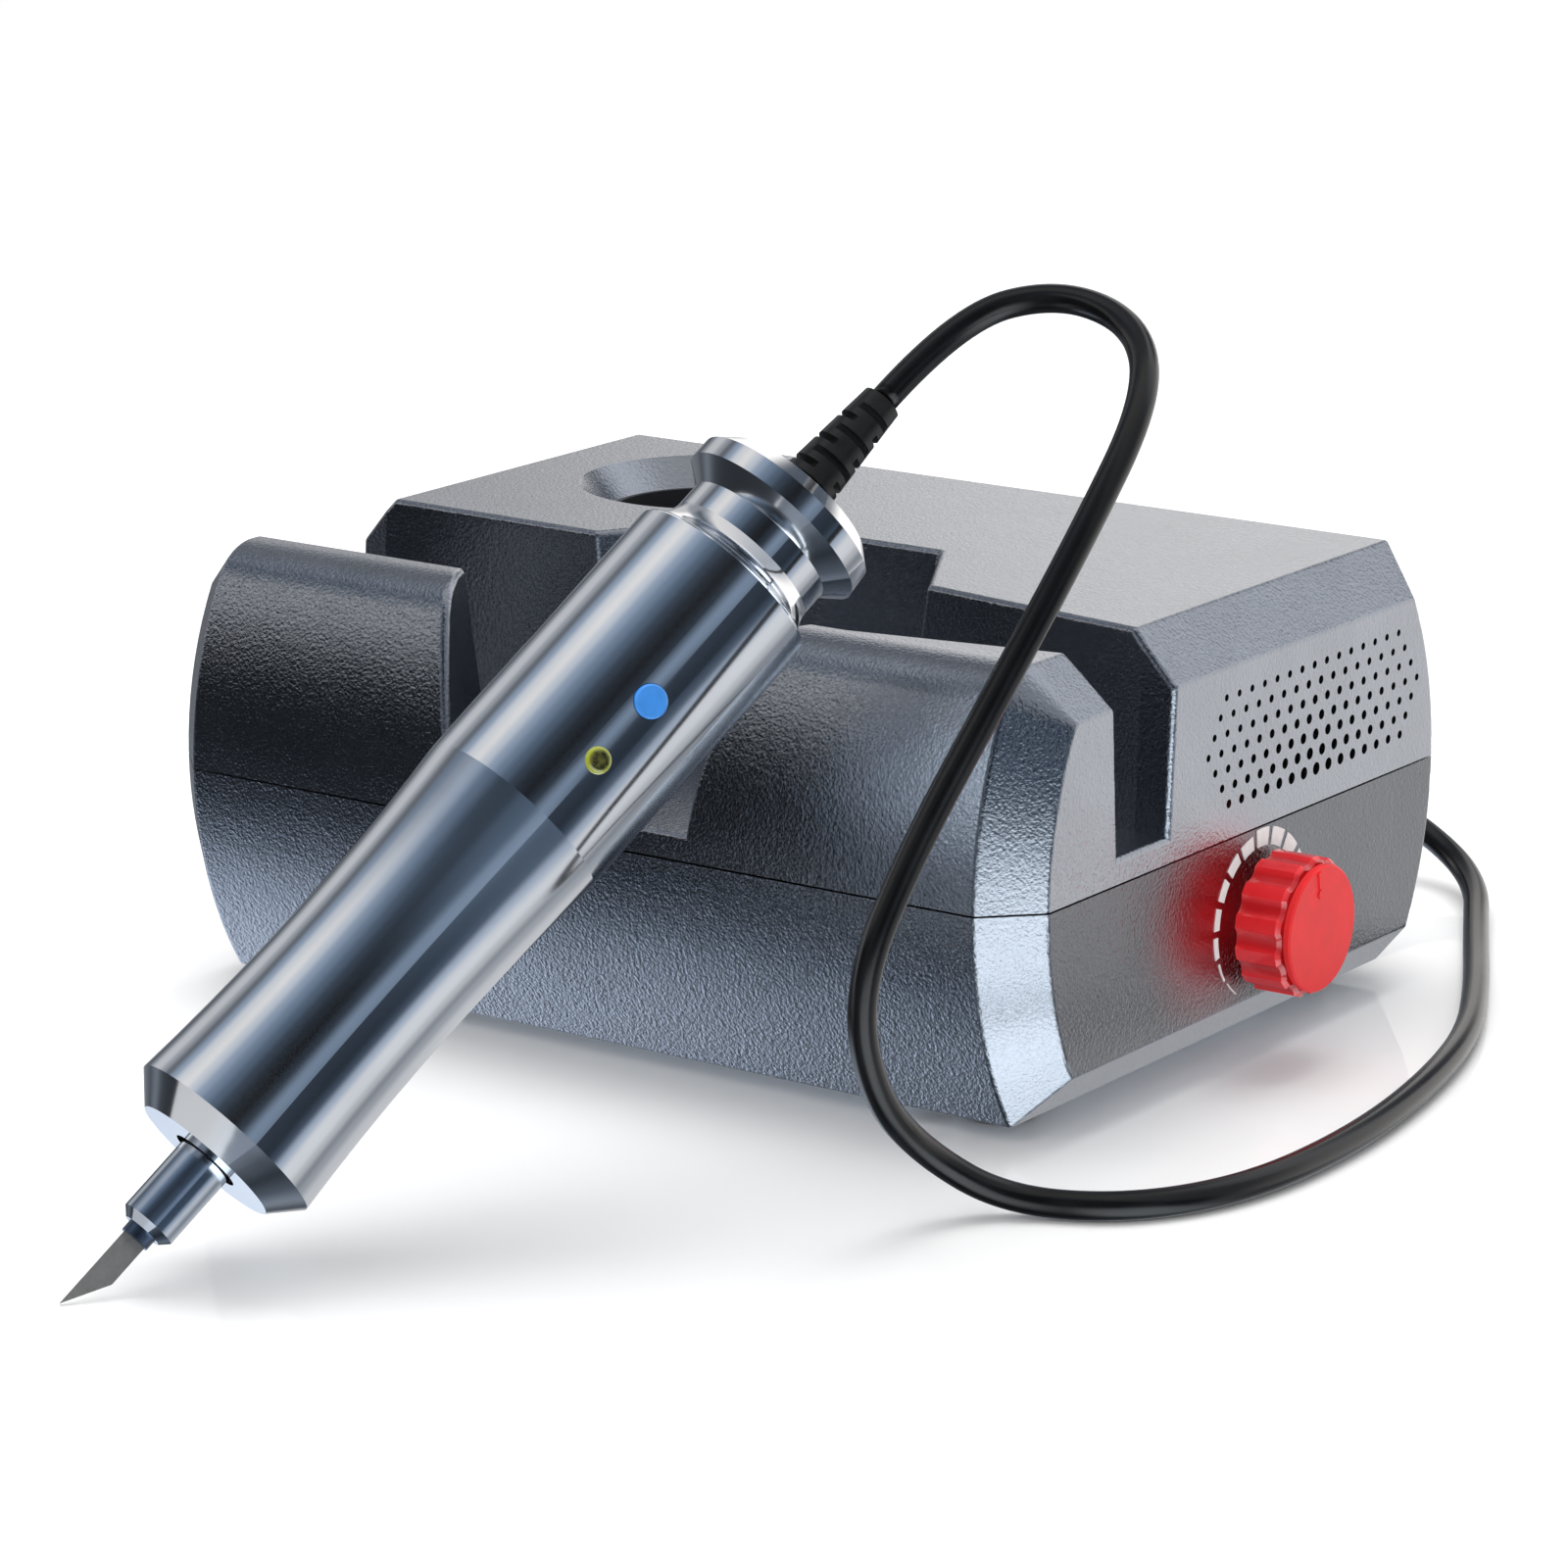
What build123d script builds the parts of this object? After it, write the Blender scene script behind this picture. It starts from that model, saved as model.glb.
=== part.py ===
from build123d import *
import os
from math import cos, pi, radians, sin, sqrt, tan

# Ultrasonic cutting station: a bench-top generator with a trough and a well for its
# pencil-like cutting handpiece, which hangs on a cable from the back of the generator.
#
# Frame, in millimetres: the origin is under the middle of the generator's casing, on the
# table. +X is to the right along the front, +Y to the back and +Z up.

# ---------------------------------------------------------------- driving dimensions
# Casing
WIDTH = 162.0                 # left to right
DEPTH = 127.4                 # front to back at the seam, where the barrel is deepest
EDGE_DEPTH = 107.0            # front to back along the top and bottom edges
TOP = 71.2
UNDERSIDE = 2.5               # the feet lift the casing this far
SEAM = (TOP + UNDERSIDE) / 2
SEAM_GAP = 0.3
WALL = 2.5
END_CHAMFER = 7.8
BROW_R = 9.0                  # rounding along the top of the front wall
EDGE_R = 1.0                  # every other outer edge

# Trough along the front, open at both ends, and the finger pocket across its middle
TROUGH_FLOOR = 41.0
TROUGH_DRAFT = 3.5
POCKET_DRAFT = 7.0

# Round well in the top for the handpiece
WELL_X, WELL_Y = -39.5, 28.6
WELL_RIM_R = 22.0
WELL_R = 16.5
WELL_WALL = 1.6
WELL_FUNNEL = 4.6             # depth of the funnel that leads into the well
WELL_FUNNEL_R = 17.4          # at the funnel's foot
WELL_COLLAR = 12.0            # length of the socket that grips the well
WELL_BOTTOM = 16.0

# Vent holes in the right end
VENT_Y, VENT_Z = 18.9, 50.7
VENT_PITCH, VENT_ROW_PITCH = 3.69, 2.76
VENT_ROW_SHIFT = 0.2          # each row starts this much further back than the one above
VENT_ROWS = (15, 16, 17, 18, 17, 16, 15)
VENT_SMALL_R, VENT_LARGE_R = 0.5, 1.0

# Power knob on the right end, and the potentiometer that it turns
KNOB_Y, KNOB_Z = 3.5, 22.5
KNOB_R, KNOB_FACE_R = 10.8, 9.8
KNOB_GAP = 2.0
KNOB_BODY, KNOB_FACE = 7.5, 1.5
KNOB_FLUTES, FLUTE_R, FLUTE_DEPTH = 13, 2.4, 0.7
KNOB_LEAN = 9.0               # degrees from upright of the pointer at rest, to the front
POINTER_IN, POINTER_OUT, POINTER_W = 6.6, 9.2, 0.9
DOT_AT, DOT_R = 5.7, 0.75
POINTER_H = 0.25
DIAL_START, DIAL_STEP, DIAL_TICK_TURN = 229.0, -20.0, 15.0
DIAL_FULL = (11.2, 14.0)      # inner and outer radius of a tick
DIAL_GROWING = ((12.4, 12.6), (12.6, 12.95), (12.4, 13.5), (12.1, 13.5), (11.9, 13.5),
                (11.7, 13.6), (11.3, 13.5))
DIAL_TICKS = DIAL_GROWING + (DIAL_FULL,) * 8
DIAL_PRINT = 0.15
SHAFT_R, BUSH_R = 3.0, 3.8
RUNNING_FIT = 0.05
POT_R, POT_BACK, POT_FRONT = 8.5, 70.0, 78.5

# Back: a flat panel with the mains rocker and the supply jack, and the cable's gland
PANEL_Y = 58.0
PANEL_X, PANEL_Z = -33.0, 21.0
PANEL_W, PANEL_H = 62.0, 20.0
SWITCH_X, SWITCH_W, SWITCH_H = -14.0, 19.0, 13.0
SWITCH_DEPTH = 17.0
ROCKER_TILT = 10.0
JACK_X, JACK_R, JACK_HOLE_R, JACK_DEPTH = -48.0, 5.5, 3.2, 11.0
GLAND_X, GLAND_Z = 30.0, 21.0
GLAND_SEAT_Y, GLAND_TIP_Y = 60.0, 76.0
GLAND_R = 6.5

# Feet and case screws
FOOT_X, FOOT_Y, FOOT_R = 64.0, 42.0, 5.5
FOOT_RECESS = 0.8
POST_X, POST_Y, POST_R = 57.0, 49.0, 3.6
SCREW_R, SCREW_HEAD_R, SCREW_HEAD_H = 1.25, 2.6, 1.8
SCREW_SEAT, SCREW_TIP = 24.0, 46.0
SCREW_CLEARANCE = 0.25

# Driver board
BOARD_Z, BOARD_T = 10.5, 1.6
BOARD_TOP = BOARD_Z + BOARD_T
BOARD_X0, BOARD_X1, BOARD_Y = -69.0, 54.0, 43.0
STANDOFF_X0, STANDOFF_X1, STANDOFF_Y, STANDOFF_R = -64.0, 49.0, 37.0, 3.2

# Fan behind the vents
FAN_X, FAN_T, FAN_SIZE = 65.0, 8.0, 30.0
FAN_Y, FAN_Z = 18.6, 49.0
FAN_BORE, FAN_BLADES = 13.9, 7
FAN_SADDLE = 1.4

# Handpiece: stations are distances along its axis from the blade's point
HAND_HEADING = 21.0           # degrees from +Y towards +X
HAND_RISE = 39.8              # degrees above the table
HAND_ROLL = 17.4              # degrees from level of the side that carries the button
BLADE_ROLL = 73.6             # degrees from the button's side to the blade's edge side
BLADE_POINT = (6.3, -184.6, 0.15)
BLADE_W, BLADE_T = 3.6, 0.6
BLADE_HEEL, BLADE_END = 6.6, 21.0
COLLET_R, COLLET_FRONT, COLLET_END = 2.2, 13.1, 24.0
NUT_R, NUT_FRONT, NUT_END = 4.1, 14.7, 28.5
NOSE_R, NOSE_FRONT = 3.0, 18.0
BARREL_R = 14.7
BARREL_FRONT, BARREL_RIM, BARREL_END = 27.5, 31.6, 136.8
BARREL_FACE_R, BARREL_HOLE_R = 10.9, 5.1
WAIST, WAIST_R = 63.0, 13.5
CREASE = 91.5
BARREL_BORE, BARREL_REAR_BORE = 11.5, 12.6
HORN_FLARE, HORN_FLANGE, HORN_END = 60.0, 73.0, 78.0
STACK_R, RING_T, RINGS, ELECTRODE_T = 7.5, 3.0, 4, 0.3
MASS_LENGTH = 12.0
HEAD_R, NECK_R, NECK_START, NECK_END = 14.6, 11.7, 140.8, 144.8
FLANGE_START, FLANGE_END, FLANGE_R = 147.5, 150.6, 14.8
CAP_END, CAP_END_R, CAP_BORE = 153.0, 12.2, 3.5
RELIEF_END, RELIEF_R0, RELIEF_R1 = 172.0, 4.5, 3.0
RELIEF_SLOTS, SLOT_PITCH, SLOT_W, SLOT_CORE = 7, 2.3, 1.1, 1.9
BUTTON_AT, BUTTON_R, BUTTON_HOLE_R, BUTTON_SKIRT_R = 113.3, 2.45, 2.55, 3.3
LED_AT, LED_R = 102.2, 1.95
TINY_BOARD_X, TINY_BOARD_T, TINY_BOARD_W, TINY_BOARD_L = 8.0, 1.0, 12.0, 32.0

# Cable between the handpiece and the generator
CABLE_D = 4.2


# ---------------------------------------------------------------- helpers
def save(builder, label):
    """Label a finished piece and write it as parts/<label>.step."""
    builder.part.label = label
    export_step(builder.part, f"parts/{label}.step")


def convex_edges(body):
    """Edges where two faces of a body meet in a corner that points outwards."""
    faces_at = {}
    for face in body.faces():
        for edge in face.edges():
            faces_at.setdefault(edge, []).append(face)
    found = ShapeList()
    for edge, (one, other) in faces_at.items():
        middle = edge @ 0.5
        out_one, out_other = one.normal_at(middle), other.normal_at(middle)
        if out_one.get_angle(out_other) < 8:
            continue
        beside_one = middle + out_one * 0.1 - out_other * 0.02
        beside_other = middle + out_other * 0.1 - out_one * 0.02
        if not (body.is_inside(beside_one) or body.is_inside(beside_other)):
            found.append(edge)
    return found


os.makedirs("parts", exist_ok=True)


# ---------------------------------------------------------------- casing
def casing_blank(inset=0.0):
    """The barrel-shaped body with chamfered ends, shrunk by inset on every side."""
    half_edge = EDGE_DEPTH / 2 - inset
    half_seam = DEPTH / 2 - inset
    low, high = UNDERSIDE + inset, TOP - inset
    with BuildPart() as blank:
        with BuildSketch(Plane.YZ) as side:
            with BuildLine():
                ThreePointArc((-half_edge, low), (-half_seam, SEAM), (-half_edge, high))
                Line((-half_edge, high), (half_edge, high))
                ThreePointArc((half_edge, high), (half_seam, SEAM), (half_edge, low))
                Line((half_edge, low), (-half_edge, low))
            make_face()
            brow = side.vertices().group_by(Axis.Y)[-1].sort_by(Axis.X)[0]
            fillet(brow, BROW_R - inset)
        extrude(amount=WIDTH / 2 - inset, both=True)
        chamfer(blank.faces().filter_by(Axis.X).edges(), length=END_CHAMFER - inset * (2 - sqrt(2)))
    return blank.part


def trough_space(grow=0.0):
    """The trough and the finger pocket that crosses it, grown by grow."""
    floor = TROUGH_FLOOR - grow
    height = TOP + 3 - floor
    with BuildPart() as space:
        with BuildSketch(Plane.XY.offset(floor)):
            Polygon((-95, -44.2), (39, -44.2), (75, -37.7), (95, -35.8), (95, -24.0), (75, -23.4),
                    (46, -19.2), (29, -16.6), (-75, -14.6), (-95, -8.0), align=None)
            offset(amount=grow, kind=Kind.INTERSECTION)
        extrude(amount=height, taper=-TROUGH_DRAFT)
        with BuildSketch(Plane.XY.offset(floor)):
            Polygon((-14.8, -95), (14.8, -95), (21.3, -64), (29.3, -44), (29.3, -17), (18.3, 2.5),
                    (-18.3, 2.5), (-29.3, -17), (-29.3, -44), (-21.3, -64), align=None)
            offset(amount=grow, kind=Kind.INTERSECTION)
        extrude(amount=height, taper=-POCKET_DRAFT)
    return space.part


FOOT_SPOTS = [(x, y) for x in (-FOOT_X, FOOT_X) for y in (-FOOT_Y, FOOT_Y)]
POST_SPOTS = [(x, y) for x in (-POST_X, POST_X) for y in (-POST_Y, POST_Y)]
STANDOFF_SPOTS = [(x, y) for x in (STANDOFF_X0, STANDOFF_X1) for y in (-STANDOFF_Y, STANDOFF_Y)]
WELL_SPOT = (WELL_X, WELL_Y)
BACK = Plane((0, 0, 0), x_dir=(1, 0, 0), z_dir=(0, -1, 0))      # local y is up
RIGHT = Plane.YZ                                                # local x is +Y, local y is up

# Everything inside the walls that isn't plastic: the walls, posts and bosses are what is left.
with BuildPart() as cavity:
    add(casing_blank(inset=WALL))
    add(trough_space(grow=WALL), mode=Mode.SUBTRACT)
    with BuildSketch(Plane.XY):
        with Locations(*POST_SPOTS):
            Circle(POST_R)
    extrude(amount=TOP, mode=Mode.SUBTRACT)
    with BuildSketch(Plane.XY):
        with Locations(*STANDOFF_SPOTS):
            Circle(STANDOFF_R)
    extrude(amount=BOARD_Z, mode=Mode.SUBTRACT)
    with BuildSketch(Plane.XY.offset(TOP)):
        with Locations(WELL_SPOT):
            Circle(WELL_RIM_R + WALL)
    extrude(amount=-(WELL_FUNNEL + WALL), mode=Mode.SUBTRACT)
    with BuildSketch(Plane.XY.offset(TOP)):
        with Locations(WELL_SPOT):
            Circle(WELL_R + WELL_WALL + WALL)
    extrude(amount=-(WELL_FUNNEL + WELL_COLLAR), mode=Mode.SUBTRACT)
    with BuildSketch(BACK.offset(WALL - PANEL_Y)):
        with Locations((PANEL_X, PANEL_Z)):
            Rectangle(PANEL_W + 2 * WALL, PANEL_H + 2 * WALL)
        with Locations((GLAND_X, GLAND_Z)):
            Circle(GLAND_R + WALL)
    extrude(amount=-WALL * 4, mode=Mode.SUBTRACT)
    with BuildSketch(RIGHT.offset(FAN_X - FAN_SADDLE)):
        with Locations((FAN_Y, FAN_Z + FAN_SIZE * 3 / 4)):
            Rectangle(FAN_SIZE + 2 * FAN_SADDLE, FAN_SIZE * 2)
    extrude(amount=FAN_T + 2 * FAN_SADDLE, mode=Mode.SUBTRACT)
    with BuildSketch(RIGHT.offset(FAN_X)):
        with Locations((FAN_Y, FAN_Z)):
            Rectangle(FAN_SIZE, FAN_SIZE)
    extrude(amount=FAN_T)
    with BuildSketch(RIGHT.offset(FAN_X - FAN_SADDLE)):
        with Locations((FAN_Y, FAN_Z)):
            Circle(FAN_BORE)
    extrude(amount=FAN_T + 2 * FAN_SADDLE)

with BuildPart() as casing:
    add(casing_blank())
    add(trough_space(), mode=Mode.SUBTRACT)
    fillet(convex_edges(casing.part), EDGE_R)
    add(cavity.part, mode=Mode.SUBTRACT)

with BuildPart() as upper_shell:
    add(casing.part)
    split(bisect_by=Plane.XY.offset(SEAM + SEAM_GAP / 2), keep=Keep.TOP)
    with BuildSketch(Plane.XY.offset(TOP - WELL_FUNNEL)):
        with Locations(WELL_SPOT):
            Circle(WELL_FUNNEL_R)
    with BuildSketch(Plane.XY.offset(TOP)):
        with Locations(WELL_SPOT):
            Circle(WELL_RIM_R)
    loft(mode=Mode.SUBTRACT)
    with BuildSketch(Plane.XY.offset(TOP - WELL_FUNNEL)):
        with Locations(WELL_SPOT):
            Circle(WELL_R + WELL_WALL)
    extrude(amount=-WELL_COLLAR, mode=Mode.SUBTRACT)
    with BuildSketch(Plane.XY.offset(SEAM)):
        with Locations(*POST_SPOTS):
            Circle(SCREW_R)
    extrude(amount=SCREW_TIP - SEAM, mode=Mode.SUBTRACT)
    with BuildSketch(RIGHT.offset(WIDTH / 2 + 1)):
        for row, holes in enumerate(VENT_ROWS):
            height = VENT_Z + ((len(VENT_ROWS) - 1) / 2 - row) * VENT_ROW_PITCH
            for hole in range(holes):
                along = (hole - (holes - 1) / 2) * VENT_PITCH + (row - 3) * VENT_ROW_SHIFT
                nearness = 1 - abs(along) / (VENT_PITCH * 11)
                lowness = (row + 2) / (len(VENT_ROWS) + 1)
                with Locations((VENT_Y + along, height)):
                    Circle(VENT_SMALL_R + (VENT_LARGE_R - VENT_SMALL_R) * nearness * lowness)
    extrude(amount=-(WALL + 2), mode=Mode.SUBTRACT)
save(upper_shell, "upper_shell")

with BuildPart() as lower_shell:
    add(casing.part)
    split(bisect_by=Plane.XY.offset(SEAM - SEAM_GAP / 2), keep=Keep.BOTTOM)
    with BuildSketch(Plane.XY.offset(UNDERSIDE)):
        with Locations(*FOOT_SPOTS):
            Circle(FOOT_R)
    extrude(amount=FOOT_RECESS, mode=Mode.SUBTRACT)
    with BuildSketch(Plane.XY):
        with Locations(*POST_SPOTS):
            Circle(SCREW_R + SCREW_CLEARANCE)
    extrude(amount=SEAM, mode=Mode.SUBTRACT)
    with BuildSketch(Plane.XY):
        with Locations(*POST_SPOTS):
            Circle(SCREW_HEAD_R + SCREW_CLEARANCE)
    extrude(amount=SCREW_SEAT, mode=Mode.SUBTRACT)
    with BuildSketch(Plane.XY.offset(BOARD_Z)):
        with Locations(*STANDOFF_SPOTS):
            Circle(SCREW_R)
    extrude(amount=-WALL * 2, mode=Mode.SUBTRACT)
    with BuildSketch(RIGHT.offset(WIDTH / 2)):
        with Locations((KNOB_Y, KNOB_Z)):
            Circle(BUSH_R)
    extrude(amount=-WALL, mode=Mode.SUBTRACT)
    with BuildSketch(BACK.offset(-PANEL_Y)):
        with Locations((PANEL_X, PANEL_Z)):
            RectangleRounded(PANEL_W, PANEL_H, EDGE_R * 2)
    extrude(amount=-WALL * 4, mode=Mode.SUBTRACT)
    with BuildSketch(BACK.offset(-GLAND_SEAT_Y)):
        with Locations((GLAND_X, GLAND_Z)):
            Circle(GLAND_R)
    extrude(amount=-WALL * 4, mode=Mode.SUBTRACT)
    with BuildSketch(BACK.offset(-GLAND_SEAT_Y)):
        with Locations((GLAND_X, GLAND_Z)):
            Circle(RELIEF_R0)
        with Locations((SWITCH_X, PANEL_Z)):
            Rectangle(SWITCH_W, SWITCH_H)
        with Locations((JACK_X, PANEL_Z)):
            Circle(JACK_R)
    extrude(amount=WALL * 3, mode=Mode.SUBTRACT)
save(lower_shell, "lower_shell")

with BuildPart() as holder_well:
    with BuildSketch(Plane.XY.offset(WELL_BOTTOM)):
        with Locations(WELL_SPOT):
            Circle(WELL_R + WELL_WALL)
    extrude(amount=TOP - WELL_FUNNEL - WELL_BOTTOM)
    with BuildSketch(Plane.XY.offset(WELL_BOTTOM + 2 * WELL_WALL)):
        with Locations(WELL_SPOT):
            Circle(WELL_R)
    extrude(amount=TOP, mode=Mode.SUBTRACT)
save(holder_well, "holder_well")

with BuildPart() as rubber_feet:
    with BuildSketch(Plane.XY):
        with Locations(*FOOT_SPOTS):
            Circle(FOOT_R)
    extrude(amount=UNDERSIDE + FOOT_RECESS)
    chamfer(rubber_feet.edges().group_by(Axis.Z)[0], length=0.5)
save(rubber_feet, "rubber_feet")

with BuildPart() as case_screws:
    with BuildSketch(Plane.XY.offset(SCREW_SEAT - SCREW_HEAD_H)):
        with Locations(*POST_SPOTS):
            Circle(SCREW_HEAD_R)
    extrude(amount=SCREW_HEAD_H)
    with BuildSketch(Plane.XY.offset(SCREW_SEAT)):
        with Locations(*POST_SPOTS):
            Circle(SCREW_R)
    extrude(amount=SCREW_TIP - SCREW_SEAT)
    with BuildSketch(Plane.XY.offset(SCREW_SEAT - SCREW_HEAD_H)):
        with Locations(*POST_SPOTS):
            Rectangle(3 * SCREW_R, SCREW_R / 2)
            Rectangle(SCREW_R / 2, 3 * SCREW_R)
    extrude(amount=SCREW_HEAD_H / 2, mode=Mode.SUBTRACT)
save(case_screws, "case_screws")


# ---------------------------------------------------------------- knob and potentiometer
def on_dial(radius, angle):
    """A point round the knob, at an angle in degrees from +Y towards +Z."""
    turn = radians(angle)
    return KNOB_Y + radius * cos(turn), KNOB_Z + radius * sin(turn)


KNOB_BACK = WIDTH / 2 + KNOB_GAP
KNOB_FRONT = KNOB_BACK + KNOB_BODY
KNOB_SPOT = (KNOB_Y, KNOB_Z)
KNOB_UP = 90 + KNOB_LEAN

with BuildPart() as power_knob:
    with BuildSketch(RIGHT.offset(KNOB_BACK)):
        with Locations(KNOB_SPOT):
            Circle(KNOB_R)
            Circle(SHAFT_R, mode=Mode.SUBTRACT)
            with PolarLocations(KNOB_R + FLUTE_R - FLUTE_DEPTH, KNOB_FLUTES, start_angle=KNOB_UP):
                Circle(FLUTE_R, mode=Mode.SUBTRACT)
    extrude(amount=KNOB_BODY)
    chamfer(power_knob.faces().sort_by(Axis.X)[-1].outer_wire().edges(), length=0.6)
    with BuildSketch(RIGHT.offset(KNOB_BACK)):
        with Locations(KNOB_SPOT):
            Circle(KNOB_R - 1.2)
            Circle(SHAFT_R + 1.5, mode=Mode.SUBTRACT)
    extrude(amount=KNOB_BODY - 2.5, mode=Mode.SUBTRACT)
save(power_knob, "power_knob")

with BuildPart() as knob_cap:
    with BuildSketch(RIGHT.offset(KNOB_FRONT)):
        with Locations(KNOB_SPOT):
            Circle(KNOB_FACE_R - 0.5)
    extrude(amount=0.4)
    with BuildSketch(RIGHT.offset(KNOB_FRONT + 0.4)):
        with Locations(KNOB_SPOT):
            Circle(KNOB_FACE_R)
    extrude(amount=KNOB_FACE - 0.4)
    chamfer(knob_cap.edges().group_by(Axis.X)[-1], length=0.3)
    with BuildSketch(RIGHT.offset(KNOB_FRONT + KNOB_FACE)):
        with Locations(KNOB_SPOT):
            with PolarLocations((POINTER_IN + POINTER_OUT) / 2, 1, start_angle=KNOB_UP):
                Rectangle(POINTER_OUT - POINTER_IN, POINTER_W)
            with PolarLocations(DOT_AT, 1, start_angle=KNOB_UP):
                Circle(DOT_R)
    extrude(amount=POINTER_H)
save(knob_cap, "knob_cap")

with BuildPart() as knob_shaft:
    with BuildSketch(RIGHT.offset(POT_BACK + 3)):
        with Locations(KNOB_SPOT):
            Circle(SHAFT_R)
    extrude(amount=KNOB_FRONT - POT_BACK - 3)
save(knob_shaft, "knob_shaft")

with BuildPart() as potentiometer:
    with BuildSketch(RIGHT.offset(POT_BACK)):
        with Locations(KNOB_SPOT):
            Circle(POT_R)
    extrude(amount=POT_FRONT - POT_BACK)
    with BuildSketch(RIGHT.offset(POT_FRONT)):
        with Locations(KNOB_SPOT):
            Circle(BUSH_R)
    extrude(amount=WALL + KNOB_GAP - 0.2)
    for pin in (-5.0, 0.0, 5.0):
        with BuildSketch(RIGHT.offset(POT_BACK + 1)):
            with Locations((KNOB_Y + pin, KNOB_Z - POT_R)):
                Rectangle(1.0, 3.0)
        extrude(amount=0.8)
    with BuildSketch(RIGHT.offset(POT_BACK + 2.5)):
        with Locations(KNOB_SPOT):
            Circle(SHAFT_R + RUNNING_FIT)
    extrude(amount=WIDTH, mode=Mode.SUBTRACT)
save(potentiometer, "potentiometer")

with BuildPart() as bush_nut:
    with BuildSketch(RIGHT.offset(WIDTH / 2)):
        with Locations(KNOB_SPOT):
            RegularPolygon(radius=KNOB_FACE_R - 4, side_count=6)
            Circle(BUSH_R, mode=Mode.SUBTRACT)
    extrude(amount=KNOB_GAP - 0.4)
save(bush_nut, "bush_nut")

with BuildPart() as dial_scale:
    for tick, (inner, outer) in enumerate(DIAL_TICKS):
        middle = DIAL_START + tick * DIAL_STEP
        first, last = middle - DIAL_TICK_TURN / 2, middle + DIAL_TICK_TURN / 2
        with BuildSketch(RIGHT.offset(WIDTH / 2)):
            with BuildLine():
                ThreePointArc(on_dial(outer, first), on_dial(outer, middle), on_dial(outer, last))
                Line(on_dial(outer, last), on_dial(inner, last))
                ThreePointArc(on_dial(inner, last), on_dial(inner, middle), on_dial(inner, first))
                Line(on_dial(inner, first), on_dial(outer, first))
            make_face()
        extrude(amount=DIAL_PRINT)
save(dial_scale, "dial_scale")


# ---------------------------------------------------------------- pieces in the back panel
ROCKER_Y = PANEL_Y - 1.5
ROCKER_W, ROCKER_H, ROCKER_GAP = 14.0, 8.4, 0.7
ROCKER_PLANE = Plane((SWITCH_X, ROCKER_Y, PANEL_Z), z_dir=(0, 0, 1),
                     x_dir=(cos(radians(ROCKER_TILT)), sin(radians(ROCKER_TILT)), 0))
PIVOT_R, PIVOT_L = 1.0, 5.6

with BuildPart() as power_switch:
    with BuildSketch(BACK.offset(-PANEL_Y)):
        with Locations((SWITCH_X, PANEL_Z)):
            Rectangle(SWITCH_W, SWITCH_H)
    extrude(amount=SWITCH_DEPTH)
    with BuildSketch(BACK.offset(-PANEL_Y)):
        with Locations((SWITCH_X, PANEL_Z)):
            RectangleRounded(SWITCH_W + 2, SWITCH_H + 2, 1)
    extrude(amount=-1.0)
    with BuildSketch(BACK.offset(-PANEL_Y - 1)):
        with Locations((SWITCH_X, PANEL_Z)):
            Rectangle(ROCKER_W + 2 * ROCKER_GAP, ROCKER_H + 2 * ROCKER_GAP)
    extrude(amount=6.0, mode=Mode.SUBTRACT)
    with BuildSketch(Plane((SWITCH_X, ROCKER_Y, PANEL_Z))):
        Circle(PIVOT_R + RUNNING_FIT)
    extrude(amount=PIVOT_L + 0.2, both=True, mode=Mode.SUBTRACT)
    for pin in (-5.0, 0.0, 5.0):
        with BuildSketch(BACK.offset(SWITCH_DEPTH - PANEL_Y)):
            with Locations((SWITCH_X + pin, PANEL_Z)):
                Rectangle(0.8, 4.8)
        extrude(amount=6.0)
save(power_switch, "power_switch")

with BuildPart() as switch_rocker:
    with BuildSketch(ROCKER_PLANE.offset(-ROCKER_H / 2)):
        with BuildLine():
            ThreePointArc((-ROCKER_W / 2, 2.9), (0, 1.9), (ROCKER_W / 2, 2.9))
            Polyline((ROCKER_W / 2, 2.9), (ROCKER_W / 2, -1), (-ROCKER_W / 2, -1), (-ROCKER_W / 2, 2.9))
        make_face()
    extrude(amount=ROCKER_H)
    with BuildSketch(Plane((SWITCH_X, ROCKER_Y, PANEL_Z))):
        Circle(PIVOT_R)
    extrude(amount=PIVOT_L, both=True)
save(switch_rocker, "switch_rocker")

with BuildPart() as power_inlet:
    with BuildSketch(BACK.offset(-PANEL_Y)):
        with Locations((JACK_X, PANEL_Z)):
            Circle(JACK_R)
    extrude(amount=JACK_DEPTH)
    with BuildSketch(BACK.offset(-PANEL_Y)):
        with Locations((JACK_X, PANEL_Z)):
            Circle(JACK_R + 1.2)
    extrude(amount=-1.2)
    with BuildSketch(BACK.offset(-PANEL_Y - 1.2)):
        with Locations((JACK_X, PANEL_Z)):
            Circle(JACK_HOLE_R)
            Circle(1.0, mode=Mode.SUBTRACT)
    extrude(amount=JACK_DEPTH - 2, mode=Mode.SUBTRACT)
save(power_inlet, "power_inlet")

GLAND_AXIS = Axis((GLAND_X, 0, GLAND_Z), (0, 1, 0))
GLAND_SIDE = Plane((GLAND_X, 0, GLAND_Z), x_dir=(0, 1, 0), z_dir=(1, 0, 0))
GLAND_TAPER_Y = GLAND_SEAT_Y + 2.0

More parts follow.
